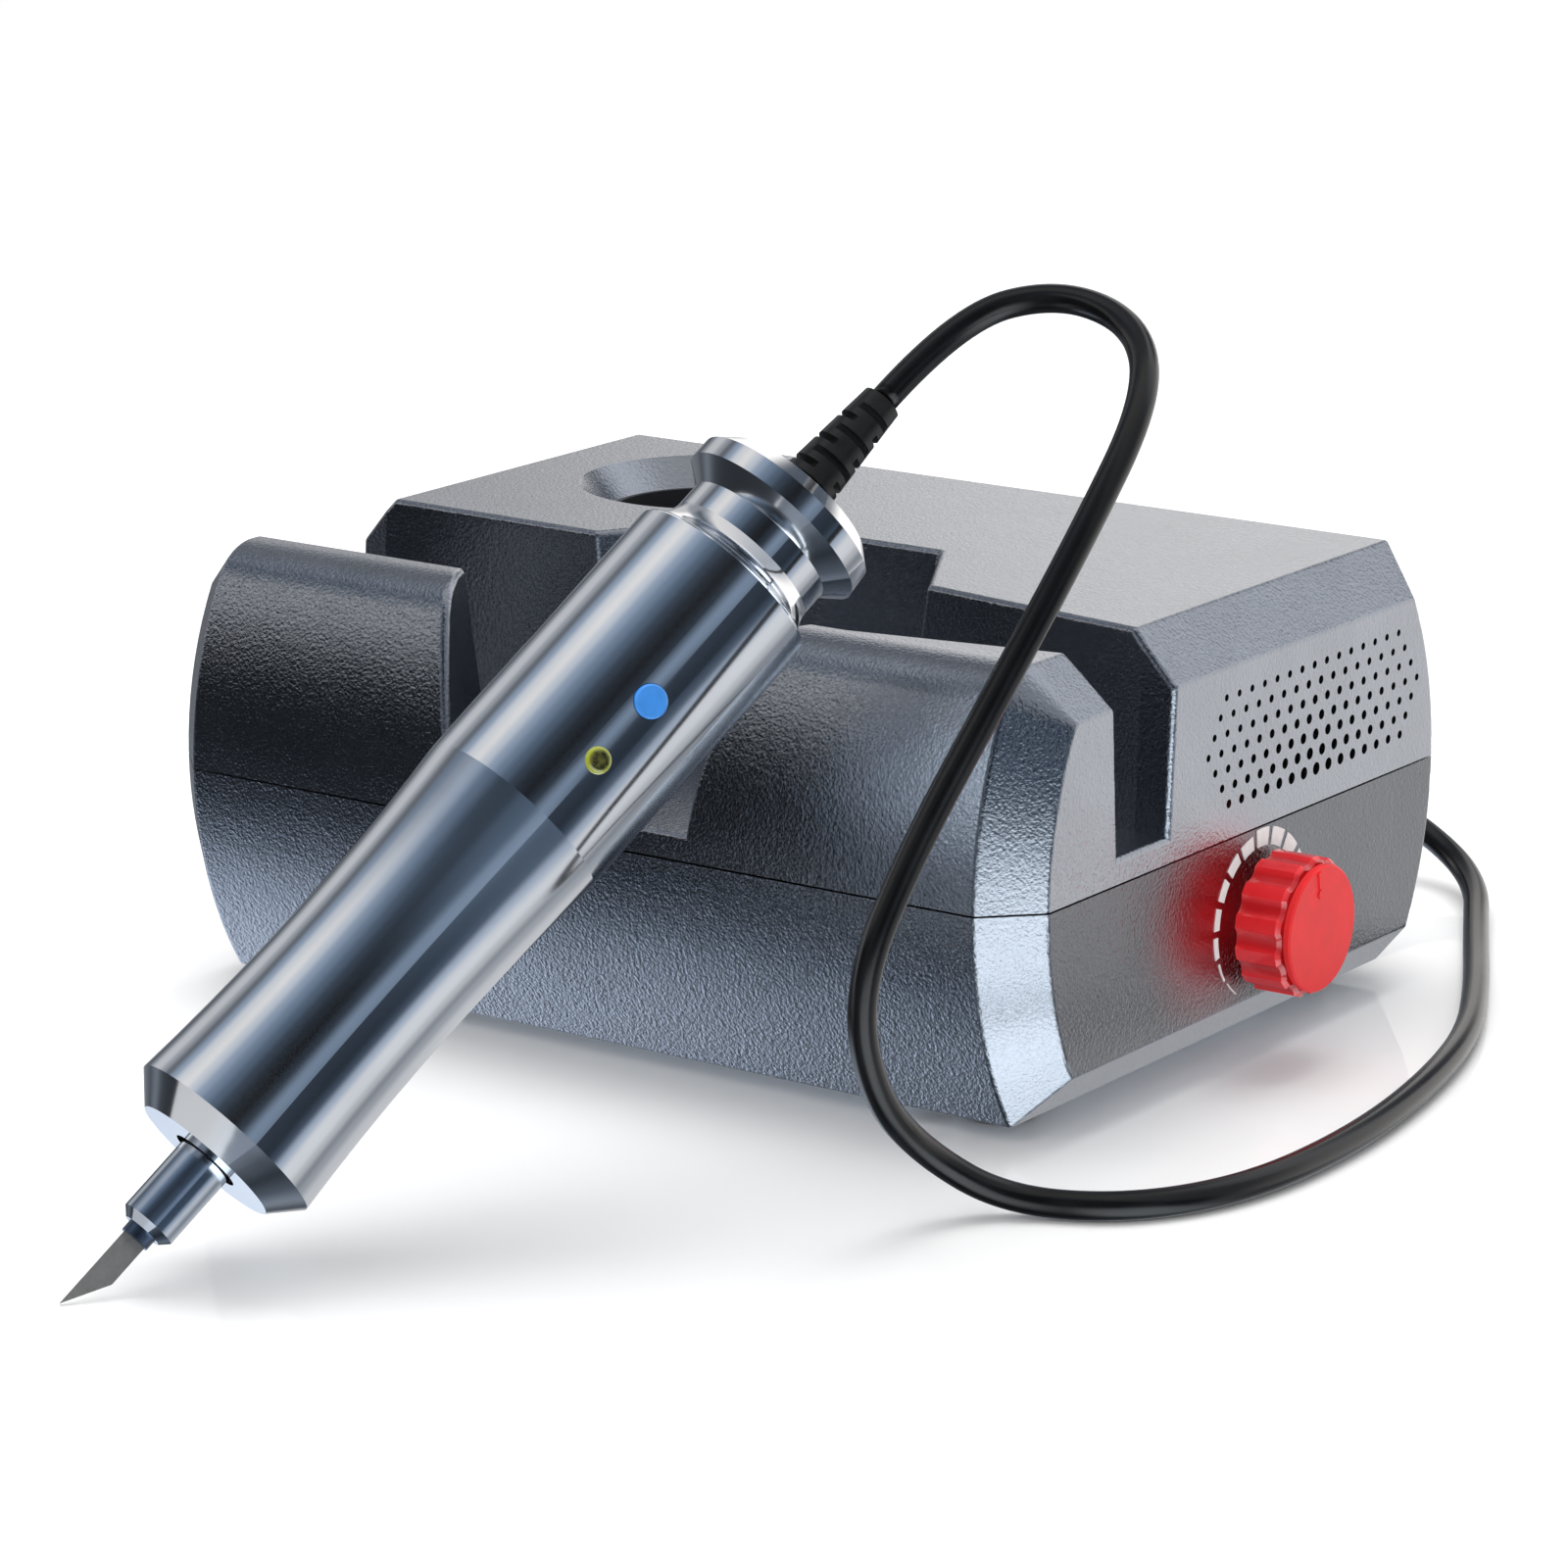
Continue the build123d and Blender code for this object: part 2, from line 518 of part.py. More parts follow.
with BuildPart() as cord_gland:
    with BuildSketch(GLAND_SIDE):
        with BuildLine():
            Polyline((PANEL_Y - WALL - 1.5, 0), (PANEL_Y - WALL - 1.5, 5.8), (PANEL_Y - WALL, 5.8),
                     (PANEL_Y - WALL, RELIEF_R0), (GLAND_SEAT_Y, RELIEF_R0), (GLAND_SEAT_Y, GLAND_R),
                     (GLAND_TAPER_Y, GLAND_R), (GLAND_TAPER_Y, RELIEF_R0),
                     (GLAND_TIP_Y, RELIEF_R1), (GLAND_TIP_Y, 0), close=True)
        make_face()
    revolve(axis=GLAND_AXIS)
    for slot in range(5):
        station = GLAND_TAPER_Y + 2 + slot * SLOT_PITCH
        with BuildSketch(BACK.offset(-station)):
            with Locations((GLAND_X, GLAND_Z)):
                Rectangle(3 * RELIEF_R0, 3 * RELIEF_R0)
                Rectangle(3 * RELIEF_R0 if slot % 2 else 2 * SLOT_CORE,
                          2 * SLOT_CORE if slot % 2 else 3 * RELIEF_R0, mode=Mode.SUBTRACT)
        extrude(amount=-SLOT_W, mode=Mode.SUBTRACT)
save(cord_gland, "cord_gland")


# ---------------------------------------------------------------- driver board
ON_BOARD = Plane.XY.offset(BOARD_TOP)

with BuildPart() as driver_board:
    with BuildSketch(Plane.XY.offset(BOARD_Z)):
        with Locations(((BOARD_X0 + BOARD_X1) / 2, 0)):
            Rectangle(BOARD_X1 - BOARD_X0, 2 * BOARD_Y)
        with Locations(*STANDOFF_SPOTS):
            Circle(SCREW_R + SCREW_CLEARANCE, mode=Mode.SUBTRACT)
    extrude(amount=BOARD_T)
save(driver_board, "driver_board")

with BuildPart() as board_screws:
    with BuildSketch(Plane.XY.offset(BOARD_Z - WALL)):
        with Locations(*STANDOFF_SPOTS):
            Circle(SCREW_R)
    extrude(amount=WALL + BOARD_T)
    with BuildSketch(ON_BOARD):
        with Locations(*STANDOFF_SPOTS):
            Circle(SCREW_HEAD_R)
    extrude(amount=SCREW_HEAD_H)
save(board_screws, "board_screws")

CORE_X, CORE_Y, CORE_W, CORE_T, CORE_H = 12.0, -28.0, 30.0, 13.0, 22.0
WINDOW_W, WINDOW_H, LEG_W = 6.0, 14.0, 8.0
CORE_MIDDLE = BOARD_TOP + CORE_H / 2

with BuildPart() as transformer_core:
    with BuildSketch(Plane((CORE_X, CORE_Y, CORE_MIDDLE), x_dir=(1, 0, 0), z_dir=(0, -1, 0))):
        Rectangle(CORE_W, CORE_H)
        with Locations((-(LEG_W + WINDOW_W) / 2, 0), ((LEG_W + WINDOW_W) / 2, 0)):
            Rectangle(WINDOW_W, WINDOW_H, mode=Mode.SUBTRACT)
    extrude(amount=CORE_T / 2, both=True)
save(transformer_core, "transformer_core")

with BuildPart() as transformer_coil:
    with BuildSketch(Plane((CORE_X, CORE_Y, CORE_MIDDLE))):
        RectangleRounded(LEG_W + 2 * WINDOW_W - 0.6, CORE_T + 2 * WINDOW_W, 4)
        Rectangle(LEG_W, CORE_T, mode=Mode.SUBTRACT)
    extrude(amount=WINDOW_H / 2, both=True)
save(transformer_coil, "transformer_coil")

SINK_X, SINK_Y, SINK_W, SINK_H, SINK_FINS = 20.0, 12.0, 46.0, 30.0, 10

with BuildPart() as heatsink:
    with BuildSketch(ON_BOARD):
        with Locations((SINK_X, SINK_Y)):
            Rectangle(SINK_W, 3.0, align=(Align.CENTER, Align.MIN))
            with Locations((0, 3.0)):
                with GridLocations((SINK_W - 1.5) / (SINK_FINS - 1), 1, SINK_FINS, 1):
                    Rectangle(1.5, 16.0, align=(Align.CENTER, Align.MIN))
    extrude(amount=SINK_H)
save(heatsink, "heatsink")

with BuildPart() as power_transistors:
    for x in (SINK_X - 14, SINK_X, SINK_X + 14):
        with BuildSketch(ON_BOARD.offset(4)):
            with Locations((x, SINK_Y - 2.2)):
                Rectangle(10.0, 4.4)
        extrude(amount=9.0)
        with BuildSketch(ON_BOARD.offset(13)):
            with Locations((x, SINK_Y - 0.65)):
                Rectangle(10.0, 1.3)
        extrude(amount=6.0)
        with BuildSketch(ON_BOARD):
            with Locations((x, SINK_Y - 2.2)):
                with GridLocations(2.5, 1, 3, 1):
                    Rectangle(0.8, 0.6)
        extrude(amount=4.0)
save(power_transistors, "power_transistors")

# centre x, centre y, radius, height
CAPACITORS = ((-52, -30, 6, 20), (-37, -30, 6, 20), (-60, -8, 5, 15), (-60, 5, 4, 12))

with BuildPart() as capacitors:
    for x, y, radius, height in CAPACITORS:
        with BuildSketch(ON_BOARD):
            with Locations((x, y)):
                Circle(radius)
        extrude(amount=height)
    fillet(capacitors.edges().filter_by(GeomType.CIRCLE).group_by(Axis.Z)[-1], radius=0.8)
save(capacitors, "capacitors")

CHOKE_X, CHOKE_Y, CHOKE_R, CHOKE_TUBE_R = -18.0, -30.0, 6.0, 3.2

with BuildPart() as filter_choke:
    with BuildSketch(Plane((CHOKE_X, CHOKE_Y, BOARD_TOP + CHOKE_TUBE_R), x_dir=(1, 0, 0), z_dir=(0, -1, 0))):
        with Locations((CHOKE_R, 0)):
            Circle(CHOKE_TUBE_R)
    revolve(axis=Axis((CHOKE_X, CHOKE_Y, 0), (0, 0, 1)))
save(filter_choke, "filter_choke")

# centre x, centre y, length, width, height
CHIPS = ((40, -30, 10, 6, 2), (36, -8, 9, 9, 1.6), (10, -5, 6, 5, 1.8), (-20, -8, 10, 7, 2.4))
CONNECTORS = ((50, 27, 6, 12, 7), (50, 10, 6, 8, 7), (50, -12, 6, 10, 7), (8, 39, 14, 6, 8))

with BuildPart() as control_chips:
    for x, y, length, width, height in CHIPS:
        with BuildSketch(ON_BOARD):
            with Locations((x, y)):
                Rectangle(length, width)
        extrude(amount=height)
save(control_chips, "control_chips")

with BuildPart() as board_connectors:
    for x, y, length, width, height in CONNECTORS:
        with BuildSketch(ON_BOARD):
            with Locations((x, y)):
                Rectangle(length, width)
        extrude(amount=height)
        with BuildSketch(ON_BOARD.offset(height)):
            with Locations((x, y)):
                Rectangle(length - 2, width - 2)
        extrude(amount=-height + 1.5, mode=Mode.SUBTRACT)
save(board_connectors, "board_connectors")


# ---------------------------------------------------------------- fan
FAN_SPOT = (FAN_Y, FAN_Z)
HUB_R, HUB_TUBE_R, FAN_SHAFT_R = 6.3, 2.0, 1.0

with BuildPart() as fan_frame:
    with BuildSketch(RIGHT.offset(FAN_X)):
        with Locations(FAN_SPOT):
            Rectangle(FAN_SIZE, FAN_SIZE)
            Circle(FAN_BORE, mode=Mode.SUBTRACT)
    extrude(amount=FAN_T)
    with BuildSketch(RIGHT.offset(FAN_X)):
        with Locations(FAN_SPOT):
            Circle(HUB_R)
            with PolarLocations((HUB_R + FAN_BORE) / 2, 3, start_angle=30):
                Rectangle(FAN_BORE - HUB_R + 2, 2.2)
    extrude(amount=1.0)
    with BuildSketch(RIGHT.offset(FAN_X)):
        with Locations(FAN_SPOT):
            Circle(HUB_TUBE_R)
    extrude(amount=FAN_T - 2)
    with BuildSketch(RIGHT.offset(FAN_X + 0.4)):
        with Locations(FAN_SPOT):
            Circle(FAN_SHAFT_R + RUNNING_FIT)
    extrude(amount=FAN_T, mode=Mode.SUBTRACT)
save(fan_frame, "fan_frame")

with BuildPart() as fan_rotor:
    with BuildSketch(RIGHT.offset(FAN_X + 1.4)):
        with Locations(FAN_SPOT):
            Circle(HUB_R)
            with PolarLocations((HUB_R + FAN_BORE - 0.9) / 2, FAN_BLADES, start_angle=12):
                Rectangle(FAN_BORE - HUB_R - 0.5, 1.0)
    extrude(amount=FAN_T - 1.8)
    with BuildSketch(RIGHT.offset(FAN_X + 1.4)):
        with Locations(FAN_SPOT):
            Circle(HUB_R - 1)
    extrude(amount=FAN_T - 2.9, mode=Mode.SUBTRACT)
    with BuildSketch(RIGHT.offset(FAN_X + 0.6)):
        with Locations(FAN_SPOT):
            Circle(FAN_SHAFT_R)
    extrude(amount=FAN_T - 1.6)
save(fan_rotor, "fan_rotor")


# ---------------------------------------------------------------- handpiece
heading, rise, roll = radians(HAND_HEADING), radians(HAND_RISE), radians(HAND_ROLL)
AXIS_DIR = Vector(cos(rise) * sin(heading), cos(rise) * cos(heading), sin(rise))
LEVEL_DIR = Vector(cos(heading), -sin(heading), 0)
BUTTON_DIR = LEVEL_DIR * cos(roll) + LEVEL_DIR.cross(AXIS_DIR) * sin(roll)
BLADE_DIR = BUTTON_DIR * cos(radians(BLADE_ROLL)) + AXIS_DIR.cross(BUTTON_DIR) * sin(radians(BLADE_ROLL))
HAND_START = Vector(*BLADE_POINT) + BLADE_DIR * (BLADE_W / 2)
HAND = Plane(HAND_START, x_dir=BUTTON_DIR, z_dir=AXIS_DIR)
HAND_AXIS = Axis(HAND_START, AXIS_DIR)
BUTTON_AXIS = Axis(HAND_START, BUTTON_DIR)
# Profile plane of the turned pieces: local x is the station and local y the radius.
SIDE = Plane(HAND_START, x_dir=AXIS_DIR, z_dir=AXIS_DIR.cross(BUTTON_DIR))
# Plane across the button's side: local x is across the barrel and local y the station.
BUTTON_SIDE = Plane(HAND_START, x_dir=AXIS_DIR.cross(BUTTON_DIR), z_dir=BUTTON_DIR)

with BuildPart() as barrel:
    with BuildSketch(SIDE):
        with BuildLine():
            Polyline((BARREL_FRONT, BARREL_HOLE_R), (BARREL_FRONT, BARREL_FACE_R), (BARREL_RIM, BARREL_R))
            ThreePointArc((BARREL_RIM, BARREL_R), (WAIST, WAIST_R), (CREASE, BARREL_R))
            Polyline((CREASE, BARREL_R), (BARREL_END - 0.4, BARREL_R), (BARREL_END, BARREL_R - 0.4),
                     (BARREL_END, BARREL_REAR_BORE), (CREASE, BARREL_REAR_BORE), (CREASE, BARREL_BORE),
                     (BARREL_RIM, BARREL_BORE), (BARREL_RIM, BARREL_HOLE_R),
                     (BARREL_FRONT, BARREL_HOLE_R))
        make_face()
    revolve(axis=HAND_AXIS)
    for station, radius in ((BUTTON_AT, BUTTON_HOLE_R), (LED_AT, LED_R)):
        with BuildSketch(BUTTON_SIDE.offset(TINY_BOARD_X + TINY_BOARD_T)):
            with Locations((0, station)):
                Circle(radius)
        extrude(amount=BARREL_R, mode=Mode.SUBTRACT)
save(barrel, "barrel")

with BuildPart() as end_cap:
    with BuildSketch(SIDE):
        with BuildLine():
            Polyline((BARREL_END - 4, CAP_BORE), (BARREL_END - 4, BARREL_REAR_BORE),
                     (BARREL_END, BARREL_REAR_BORE), (BARREL_END, HEAD_R - 0.2))
            RadiusArc((BARREL_END, HEAD_R - 0.2), (NECK_START, NECK_R), -5)
            Polyline((NECK_START, NECK_R), (NECK_END, NECK_R), (FLANGE_START, FLANGE_R),
                     (FLANGE_END, FLANGE_R), (CAP_END, CAP_END_R), (CAP_END, CAP_BORE),
                     (BARREL_END - 4, CAP_BORE))
        make_face()
    revolve(axis=HAND_AXIS)
save(end_cap, "end_cap")

with BuildPart() as strain_relief:
    with BuildSketch(SIDE):
        with BuildLine():
            Polyline((BARREL_END - 6, 0), (BARREL_END - 6, CAP_BORE + 1.5), (BARREL_END - 4, CAP_BORE + 1.5),
                     (BARREL_END - 4, CAP_BORE), (CAP_END, CAP_BORE), (CAP_END, RELIEF_R0),
                     (RELIEF_END, RELIEF_R1), (RELIEF_END, 0), close=True)
        make_face()
    revolve(axis=HAND_AXIS)
    for slot in range(RELIEF_SLOTS):
        with BuildSketch(HAND.offset(CAP_END + 1.6 + slot * SLOT_PITCH)):
            Rectangle(3 * RELIEF_R0, 3 * RELIEF_R0)
            Rectangle(3 * RELIEF_R0 if slot % 2 else 2 * SLOT_CORE,
                      2 * SLOT_CORE if slot % 2 else 3 * RELIEF_R0, mode=Mode.SUBTRACT)
        extrude(amount=SLOT_W, mode=Mode.SUBTRACT)
save(strain_relief, "strain_relief")

BUTTON_FOOT = TINY_BOARD_X + TINY_BOARD_T + 2.4

with BuildPart() as trigger_button:
    with BuildSketch(BUTTON_SIDE.offset(BUTTON_FOOT)):
        with Locations((0, BUTTON_AT)):
            Circle(BUTTON_R)
    extrude(amount=BARREL_R + 0.5 - BUTTON_FOOT)
    chamfer(trigger_button.edges().filter_by(GeomType.CIRCLE).sort_by(BUTTON_AXIS)[-1], length=0.3)
    with BuildSketch(BUTTON_SIDE.offset(BUTTON_FOOT)):
        with Locations((0, BUTTON_AT)):
            Circle(BUTTON_SKIRT_R)
    extrude(amount=0.6)
save(trigger_button, "trigger_button")

with BuildPart() as tact_switch:
    with BuildSketch(BUTTON_SIDE.offset(TINY_BOARD_X + TINY_BOARD_T)):
        with Locations((0, BUTTON_AT)):
            Rectangle(4.5, 4.5)
    extrude(amount=1.2)
    with BuildSketch(BUTTON_SIDE.offset(TINY_BOARD_X + TINY_BOARD_T + 1.2)):
        with Locations((0, BUTTON_AT)):
            Circle(1.2)
    extrude(amount=0.4)
save(tact_switch, "tact_switch")

with BuildPart() as handpiece_board:
    with BuildSketch(BUTTON_SIDE.offset(TINY_BOARD_X)):
        with Locations((0, (CREASE + BARREL_END) / 2)):
            Rectangle(TINY_BOARD_W, TINY_BOARD_L)
    extrude(amount=TINY_BOARD_T)
save(handpiece_board, "handpiece_board")

with BuildPart() as status_led:
    with BuildSketch(BUTTON_SIDE.offset(TINY_BOARD_X + TINY_BOARD_T)):
        with Locations((0, LED_AT)):
            Circle(LED_R)
    extrude(amount=BARREL_R + 0.6 - TINY_BOARD_X - TINY_BOARD_T)
    fillet(status_led.edges().filter_by(GeomType.CIRCLE).sort_by(BUTTON_AXIS)[-1], radius=0.8)
save(status_led, "status_led")

with BuildPart() as horn:
    with BuildSketch(SIDE):
        with BuildLine():
            Polyline((COLLET_END, 0), (COLLET_END, COLLET_R), (NOSE_FRONT, COLLET_R),
                     (NOSE_FRONT, NOSE_R), (HORN_FLARE - 8, NOSE_R))
            RadiusArc((HORN_FLARE - 8, NOSE_R), (HORN_FLARE, STACK_R), 9)
            Polyline((HORN_FLARE, STACK_R), (HORN_FLANGE - 3, STACK_R), (HORN_FLANGE - 3, BARREL_BORE - 0.3),
                     (HORN_FLANGE, BARREL_BORE - 0.3), (HORN_FLANGE, STACK_R), (HORN_END, STACK_R),
                     (HORN_END, 0), (COLLET_END, 0))
        make_face()
    revolve(axis=HAND_AXIS)
save(horn, "horn")

with BuildPart() as seal_rings:
    for station in (HORN_FLANGE - 4.2, HORN_FLANGE + 1.2):
        with BuildSketch(SIDE):
            with Locations((station, BARREL_BORE - 1.3)):
                Circle(1.2)
        revolve(axis=HAND_AXIS)
save(seal_rings, "seal_rings")

BOLT_R = 2.5
STACK_END = HORN_END + RINGS * RING_T + (RINGS + 1) * ELECTRODE_T

with BuildPart() as electrodes:
    for ring in range(RINGS + 1):
        with BuildSketch(HAND.offset(HORN_END + ring * (RING_T + ELECTRODE_T))):
            Circle(STACK_R + 0.4)
            Circle(BOLT_R + 0.5, mode=Mode.SUBTRACT)
        extrude(amount=ELECTRODE_T)
save(electrodes, "electrodes")

with BuildPart() as piezo_rings:
    for ring in range(RINGS):
        with BuildSketch(HAND.offset(HORN_END + ELECTRODE_T + ring * (RING_T + ELECTRODE_T))):
            Circle(STACK_R)
            Circle(BOLT_R + 0.5, mode=Mode.SUBTRACT)
        extrude(amount=RING_T)
save(piezo_rings, "piezo_rings")

with BuildPart() as back_mass:
    with BuildSketch(HAND.offset(STACK_END)):
        Circle(STACK_R)
        Circle(BOLT_R, mode=Mode.SUBTRACT)
    extrude(amount=MASS_LENGTH)
save(back_mass, "back_mass")

with BuildPart() as clamp_bolt:
    with BuildSketch(HAND.offset(HORN_END)):
        Circle(BOLT_R)
    extrude(amount=STACK_END + MASS_LENGTH - HORN_END)
    with BuildSketch(HAND.offset(STACK_END + MASS_LENGTH)):
        RegularPolygon(radius=4.6, side_count=6)
    extrude(amount=3.5)
save(clamp_bolt, "clamp_bolt")

with BuildPart() as chuck_nut:
    with BuildSketch(SIDE):
        with BuildLine():
            Polyline((NUT_FRONT, COLLET_R + RUNNING_FIT), (NUT_FRONT, NUT_R - 1.2),
                     (NUT_FRONT + 1.2, NUT_R), (NUT_END - 0.3, NUT_R), (NUT_END, NUT_R - 0.3),
                     (NUT_END, NOSE_R + RUNNING_FIT), (NOSE_FRONT - 0.3, NOSE_R + RUNNING_FIT),
                     (NOSE_FRONT - 0.3, COLLET_R + RUNNING_FIT), close=True)
        make_face()
    revolve(axis=HAND_AXIS)
save(chuck_nut, "chuck_nut")

BLADE_PLANE = Plane(HAND_START, x_dir=BLADE_DIR, z_dir=AXIS_DIR.cross(BLADE_DIR) * -1)

with BuildPart() as blade:
    with BuildSketch(BLADE_PLANE):
        Polygon((-BLADE_W / 2, 0), (BLADE_W / 2, BLADE_HEEL), (BLADE_W / 2, BLADE_END),
                (-BLADE_W / 2, BLADE_END), align=None)
    extrude(amount=BLADE_T / 2, both=True)
save(blade, "blade")

with BuildPart() as collet:
    with BuildSketch(HAND.offset(COLLET_FRONT)):
        Circle(COLLET_R)
    extrude(amount=COLLET_END - COLLET_FRONT)
    with BuildSketch(BLADE_PLANE):
        with Locations((0, (COLLET_FRONT + BLADE_END) / 2)):
            Rectangle(BLADE_W, BLADE_END - COLLET_FRONT)
    extrude(amount=BLADE_T / 2, both=True, mode=Mode.SUBTRACT)
save(collet, "collet")


# ---------------------------------------------------------------- cable
def bend_radii(points):
    """The largest radius that each corner of a route has room for."""
    radii = []
    for before, corner, after in zip(points, points[1:], points[2:]):
        run_in, run_out = corner - before, after - corner
        half_turn = radians(run_in.get_angle(run_out)) / 2
        radii.append(0.45 * min(run_in.length, run_out.length) / tan(half_turn))
    return radii


RELIEF_TIP = HAND_START + AXIS_DIR * RELIEF_END
LEAD = AXIS_DIR * 17.0
ON_TABLE = CABLE_D / 2
ROUTE = [RELIEF_TIP, RELIEF_TIP + LEAD] + [Vector(*point) for point in (
    (72, -41, 124), (86.5, -43, 121), (96.5, -56, 113.5), (96, -73, 96), (91, -86, 76),
    (85, -97, 56), (82, -106, 38), (82, -102, 22), (82, -89, 10), (90, -80, ON_TABLE),
    (106, -73, ON_TABLE), (115, -55, ON_TABLE), (116, -28, ON_TABLE), (112, 0, ON_TABLE),
    (105, 26, ON_TABLE), (94, 49, ON_TABLE), (79, 76, ON_TABLE), (66, 100, 4), (51, 108, 9),
    (37, 104, 16), (GLAND_X, 92, GLAND_Z), (GLAND_X, GLAND_TIP_Y, GLAND_Z))]
RADII = bend_radii(ROUTE)
print("cable bend radii:", [round(radius, 1) for radius in RADII])

with BuildPart() as handpiece_cord:
    with BuildLine() as cable_path:
        FilletPolyline(*ROUTE, radius=RADII)
    with BuildSketch(Plane(RELIEF_TIP, z_dir=AXIS_DIR)):
        Circle(CABLE_D / 2)
    sweep()
cable_length = sum(edge.length for edge in cable_path.edges())
cable_section = pi * CABLE_D ** 2 / 4
print("cable length:", round(cable_length, 1), "volume over section times length:",
      round(handpiece_cord.part.volume / (cable_length * cable_section), 4))
save(handpiece_cord, "handpiece_cord")
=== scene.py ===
import math

import bmesh
import bpy
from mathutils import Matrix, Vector


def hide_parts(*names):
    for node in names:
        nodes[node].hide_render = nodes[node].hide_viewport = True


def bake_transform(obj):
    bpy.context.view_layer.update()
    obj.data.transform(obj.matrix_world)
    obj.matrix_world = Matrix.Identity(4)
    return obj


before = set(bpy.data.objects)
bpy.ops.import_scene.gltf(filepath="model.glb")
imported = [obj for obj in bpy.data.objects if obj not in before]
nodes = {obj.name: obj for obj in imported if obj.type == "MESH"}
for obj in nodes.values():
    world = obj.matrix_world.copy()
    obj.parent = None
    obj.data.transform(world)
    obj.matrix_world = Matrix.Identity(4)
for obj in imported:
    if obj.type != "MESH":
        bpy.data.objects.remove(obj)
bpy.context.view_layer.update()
scene = bpy.context.scene
scene.view_settings.view_transform = "Standard"
scene.view_settings.look = "None"

# ---------------------------------------------------------------- camera
CAMERA_AT = Vector((0.51538, -0.73570, 0.26753))
CAMERA_AIM = Vector((-0.00493, 0.0, 0.03111))
LENS_MM = 134.5
SENSOR_MM = 36.0


def turned_to(place, aim):
    """The rotation that points a camera or a light at place towards aim."""
    return (Vector(aim) - Vector(place)).to_track_quat("-Z", "Y").to_euler()


lens = bpy.data.cameras.new("camera")
lens.sensor_width = SENSOR_MM
lens.lens = LENS_MM
camera = bpy.data.objects.new("camera", lens)
camera.location = CAMERA_AT
camera.rotation_euler = turned_to(CAMERA_AT, CAMERA_AIM)
scene.collection.objects.link(camera)
scene.camera = camera

# ---------------------------------------------------------------- handpiece axis
# The handpiece's heading, rise and roll, as in the CAD source.
HEADING, RISE, ROLL, BLADE_ROLL = (math.radians(x) for x in (21.0, 39.8, 17.4, 73.6))
BLADE_POINT = Vector((0.0063, -0.1846, 0.00015))
POINT_OFF_AXIS = 0.0018         # from the blade's point to the axis
LED_STATION = 0.1022            # the status light's foot, along the axis
RELIEF_STATION = 0.172          # the strain relief's tip, along the axis

AXIS = Vector((math.cos(RISE) * math.sin(HEADING), math.cos(RISE) * math.cos(HEADING),
               math.sin(RISE)))
LEVEL = Vector((math.cos(HEADING), -math.sin(HEADING), 0))
BUTTON_DIR = LEVEL * math.cos(ROLL) + LEVEL.cross(AXIS) * math.sin(ROLL)
BLADE_DIR = BUTTON_DIR * math.cos(BLADE_ROLL) + AXIS.cross(BUTTON_DIR) * math.sin(BLADE_ROLL)
HAND_START = BLADE_POINT + BLADE_DIR * POINT_OFF_AXIS
LED_FOOT = HAND_START + AXIS * LED_STATION
RELIEF_TIP = HAND_START + AXIS * RELIEF_STATION

# ---------------------------------------------------------------- cord
CORD_D = 0.0042
CORD_SIDES = 20
CORD_STEPS = 14                 # points on the smooth line for each point of the route
GLAND_TIP = Vector((0.030, 0.076, 0.021))
ON_TABLE = CORD_D / 2
# From the gland round the casing's right side, along the table and up to the handpiece.
CORD_ROUTE = [GLAND_TIP] + [Vector(point) for point in (
    (0.030, 0.092, 0.021), (0.037, 0.104, 0.016), (0.051, 0.108, 0.009), (0.066, 0.100, 0.004),
    (0.079, 0.076, ON_TABLE), (0.094, 0.049, ON_TABLE), (0.105, 0.026, ON_TABLE),
    (0.112, 0.000, ON_TABLE), (0.116, -0.028, ON_TABLE), (0.115, -0.055, ON_TABLE),
    (0.106, -0.073, ON_TABLE), (0.090, -0.080, ON_TABLE), (0.082, -0.089, 0.010),
    (0.082, -0.102, 0.022), (0.082, -0.106, 0.038), (0.085, -0.097, 0.056),
    (0.091, -0.086, 0.076), (0.096, -0.073, 0.096), (0.0965, -0.056, 0.1135),
    (0.0865, -0.043, 0.121), (0.072, -0.041, 0.124))] + [RELIEF_TIP + AXIS * 0.017, RELIEF_TIP]


def cord_line(points):
    """Points read from the smooth NURBS line whose control points are the route's."""
    curve = bpy.data.curves.new("cord_line", "CURVE")
    curve.dimensions = "3D"
    curve.resolution_u = CORD_STEPS
    spline = curve.splines.new("NURBS")
    spline.points.add(len(points) - 1)
    for control, point in zip(spline.points, points):
        control.co = (*point, 1.0)
    spline.order_u = 3
    spline.use_endpoint_u = True
    holder = bpy.data.objects.new("cord_line", curve)
    scene.collection.objects.link(holder)
    bpy.context.view_layer.update()
    line = bpy.data.meshes.new_from_object(holder)
    found = [vertex.co.copy() for vertex in line.vertices]
    bpy.data.objects.remove(holder)
    bpy.data.meshes.remove(line)
    return found


